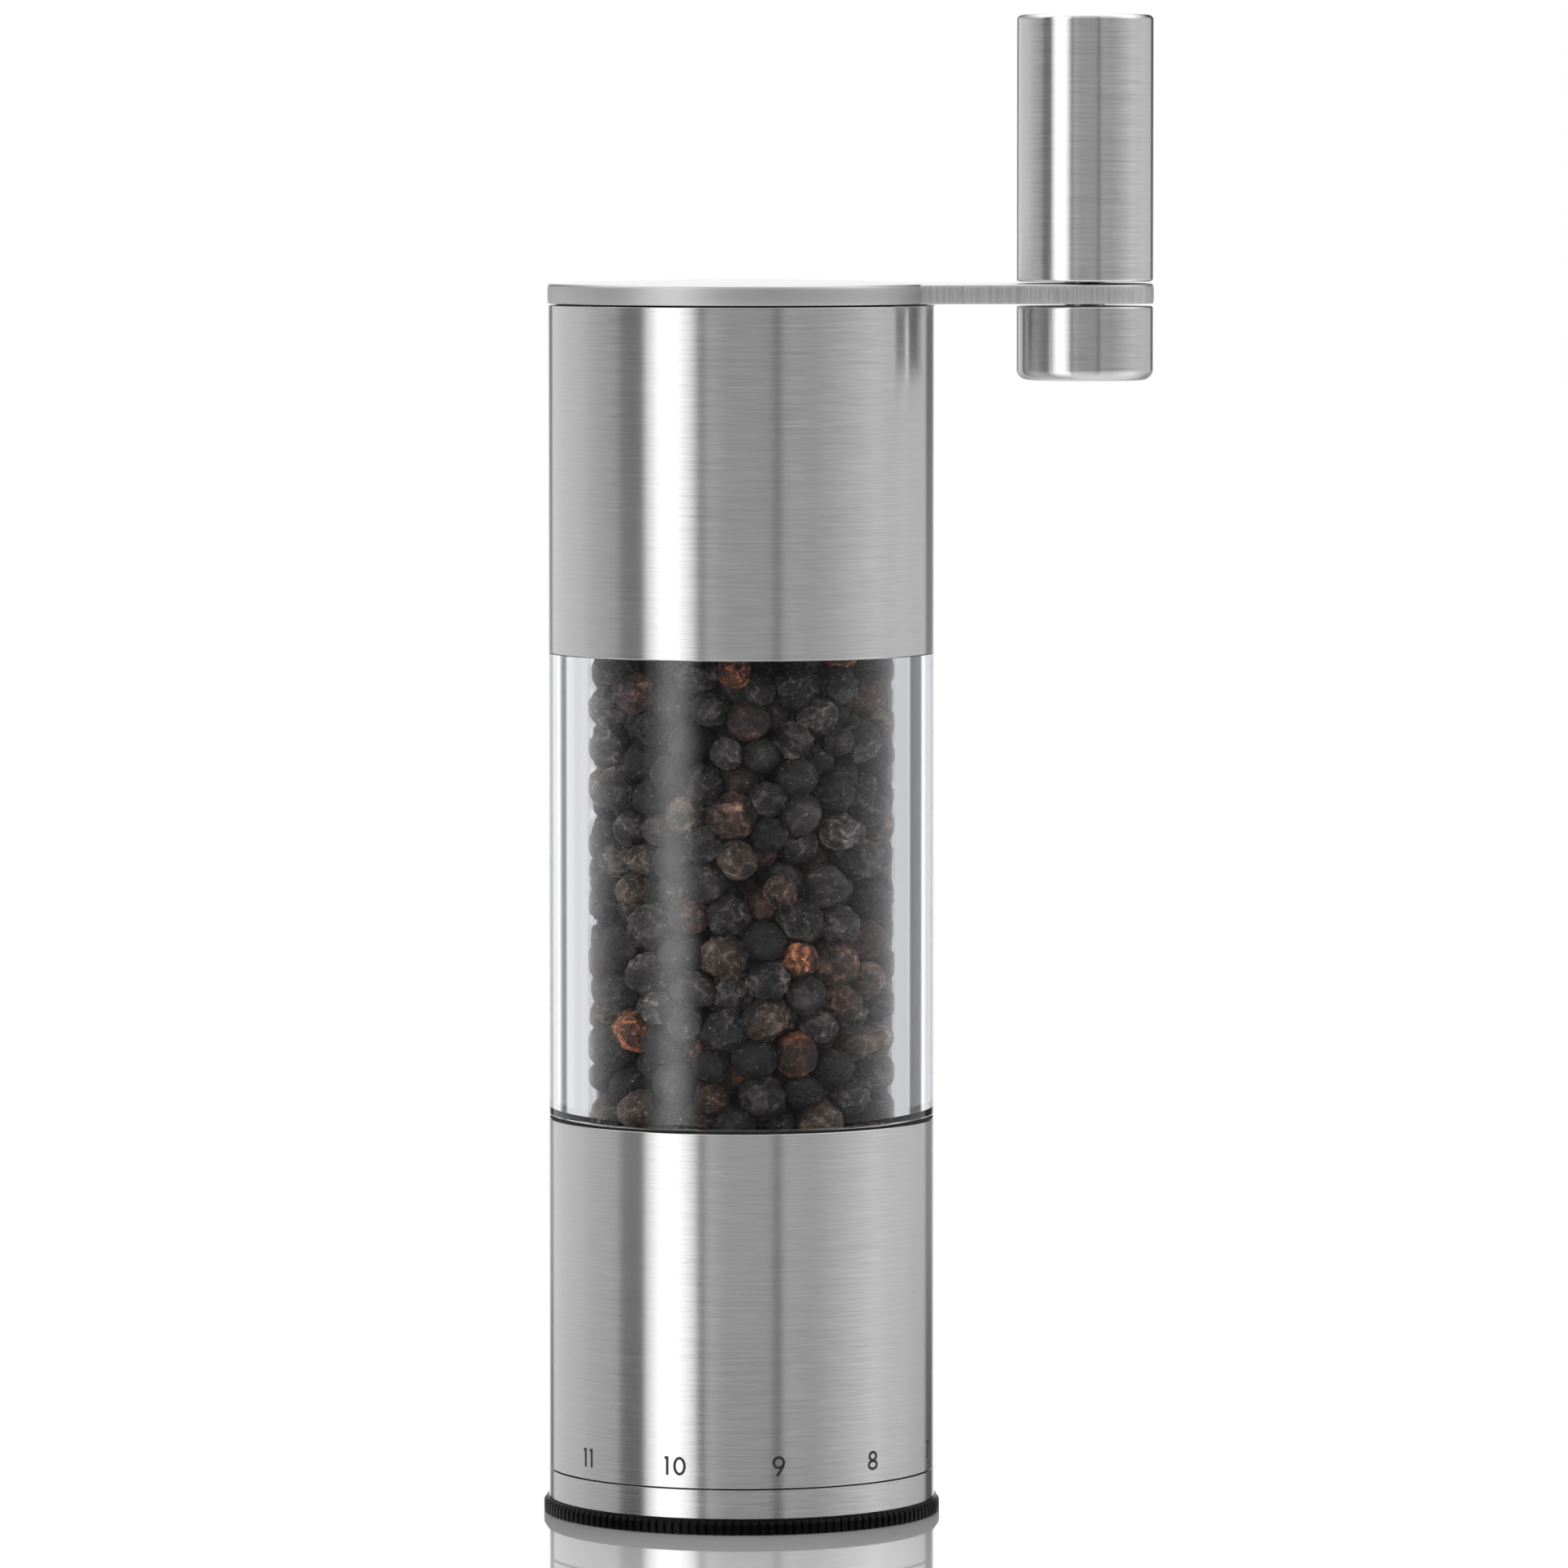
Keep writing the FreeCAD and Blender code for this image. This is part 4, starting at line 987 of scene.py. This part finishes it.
def corn_shape(rng, ball, wrinkles):
    """One corn, from a unit ball: its points, and for each how much wrinkle and patch it has.

    Wrinkles run along the edges of random cells, and the cells sink between them.
    """
    seeds = rng.normal(size=(int(rng.integers(20, 34)), 3))
    seeds /= np.linalg.norm(seeds, axis=1)[:, None]
    swirl = ball + 0.16 * np.sin(5.0 * ball[:, [1, 2, 0]] + rng.uniform(0, FULL_TURN, 3))
    swirl += 0.05 * np.sin(13.0 * ball[:, [2, 0, 1]] + rng.uniform(0, FULL_TURN, 3))
    nearest = np.sort(((swirl[:, None, :] - seeds[None, :, :]) ** 2).sum(axis=2) ** 0.5, axis=1)
    edge = nearest[:, 1] - nearest[:, 0]
    ridge = np.exp(-((edge / 0.07) ** 2))
    dent = -0.35 * np.exp(-((nearest[:, 0] / 0.25) ** 2))
    waves = np.zeros(len(ball))
    for _ in range(4):
        way = rng.normal(size=3) * 1.6
        waves += 0.018 * np.sin(ball @ way + rng.uniform(0, FULL_TURN))
    height = 0.97 + wrinkles * (0.085 * ridge + 0.2 * dent) + waves
    stretch = 1.0 + rng.uniform(-0.1, 0.1, 3)
    spin = np.linalg.qr(rng.normal(size=(3, 3)))[0]
    points = (ball * height[:, None] * stretch) @ spin
    patch = np.sin(ball @ (rng.normal(size=3) * 2.2) + rng.uniform(0, FULL_TURN))
    return points, ridge * wrinkles, np.clip(patch + 0.35, 0.0, 1.0)


def corn_colours(rng):
    """A corn's colour and that of its patches: mostly near black, some dusty, brown or rusty."""
    kind = rng.uniform()
    dark = NEAR_BLACK * rng.uniform(0.01, 0.026)
    if kind < 0.42:
        return dark, dark * rng.uniform(1.0, 1.8)
    if kind < 0.7:
        return dark * 1.3, DUSTY * rng.uniform(0.6, 1.2)
    if kind < 0.8:
        brown = BROWN * rng.uniform(0.6, 1.1)
        return brown * 0.7, brown * 1.2
    if kind < 0.95:
        return RUSTY_BASE, RUSTY * rng.uniform(0.6, 1.2)
    return RED_BASE, RED * rng.uniform(0.6, 1.2)


def make_corns(skin):
    """The corns in five pieces: the hidden ones, more coarsely, and four layers of the rest."""
    rng = np.random.default_rng(11)
    centres, radii = pack_corns(rng)
    fine, coarse = unit_ball(4), unit_ball(3)
    reach = np.hypot(centres[:, 0], centres[:, 1])
    shown = (reach > SHOWS_BEYOND) | (centres[:, 2] > SHOWS_ABOVE)
    order = np.argsort(centres[:, 2])
    groups = {"corns_inside": [index for index in order if not shown[index]]}
    outside = [index for index in order if shown[index]]
    layers = 4
    share = math.ceil(len(outside) / layers)
    for number in range(layers):
        groups[f"corns_outside_{number + 1}"] = outside[number * share : (number + 1) * share]
    for name, members in groups.items():
        ball, ball_faces = coarse if name == "corns_inside" else fine
        points, faces, colours = [], [], []
        for place, index in enumerate(members):
            wrinkles = rng.uniform(0.3, 1.5)
            shape, ridge, patch = corn_shape(rng, ball, wrinkles)
            corn = shape * radii[index] * 1.05 + centres[index]
            out = np.hypot(corn[:, 0], corn[:, 1])
            corn[:, :2] *= (np.minimum(out, BORE_RADIUS - 0.04) / out)[:, None]
            points.append(corn)
            faces.append(ball_faces + place * len(ball))
            base, patches = corn_colours(rng)
            paint = base + (patches - base) * patch[:, None]
            paint = paint * (0.75 + 2.4 * np.clip(ridge, 0, 1)[:, None])
            colours.append(np.column_stack([paint, np.full(len(ball), min(wrinkles, 1.0))]))
        mesh = bpy.data.meshes.new(name)
        mesh.from_pydata(np.vstack(points) * MM, [], np.vstack(faces).tolist())
        attribute = mesh.attributes.new("tint", "FLOAT_COLOR", "POINT")
        attribute.data.foreach_set("color", np.vstack(colours).ravel())
        mesh.shade_smooth()
        mesh.materials.append(skin)
        piece = bpy.data.objects.new(name, mesh)
        bpy.context.scene.collection.objects.link(piece)
        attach(piece, "mill_body")
        if name == "corns_inside":
            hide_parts("peppercorn_charge")


# ---------------------------------------------------------------- the whole mill

place_camera()
light_studio()
lay_floor()

steel = brushed_steel("brushed_steel_round")
grip_steel = brushed_steel("brushed_steel_grip", tone=0.69)
satin = satin_steel()
bright = turned_metal("bright_steel_turned", (0.72, 0.71, 0.7), 0.22)
brass = turned_metal("brass_turned", (0.78, 0.56, 0.26), 0.28)
acrylic = clear_acrylic()
black = moulded("black_plastic_satin", (0.0025, 0.0025, 0.003), 0.3, shine=0.1)
rubber = moulded("rubber_matt", (0.01, 0.01, 0.01), 0.6, shine=0.2)
ceramic = moulded("ceramic_fired", (0.75, 0.73, 0.69), 0.5, 4000)
ink = moulded("dial_ink", (0.018, 0.018, 0.018), 0.5)
skin = peppercorn_skin()

make_sleeves(steel)
make_window(acrylic)
make_grip(grip_steel, steel)
make_knurled_ring(black)
make_plate(satin)
make_dial(ink)
make_corns(skin)

# The finish of every CAD node that still shows, by the name of its CAD material.
carried_over = {
    "brushed_steel": steel,
    "bright_steel": bright,
    "clear_acrylic": acrylic,
    "black_plastic": black,
    "rubber": rubber,
    "brass": brass,
    "ceramic": ceramic,
    "peppercorn": skin,
}
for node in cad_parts.values():
    for slot in node.material_slots:
        for kind, material in carried_over.items():
            if kind in slot.material.name:
                slot.material = material
                break

bpy.context.scene.view_settings.view_transform = "Standard"
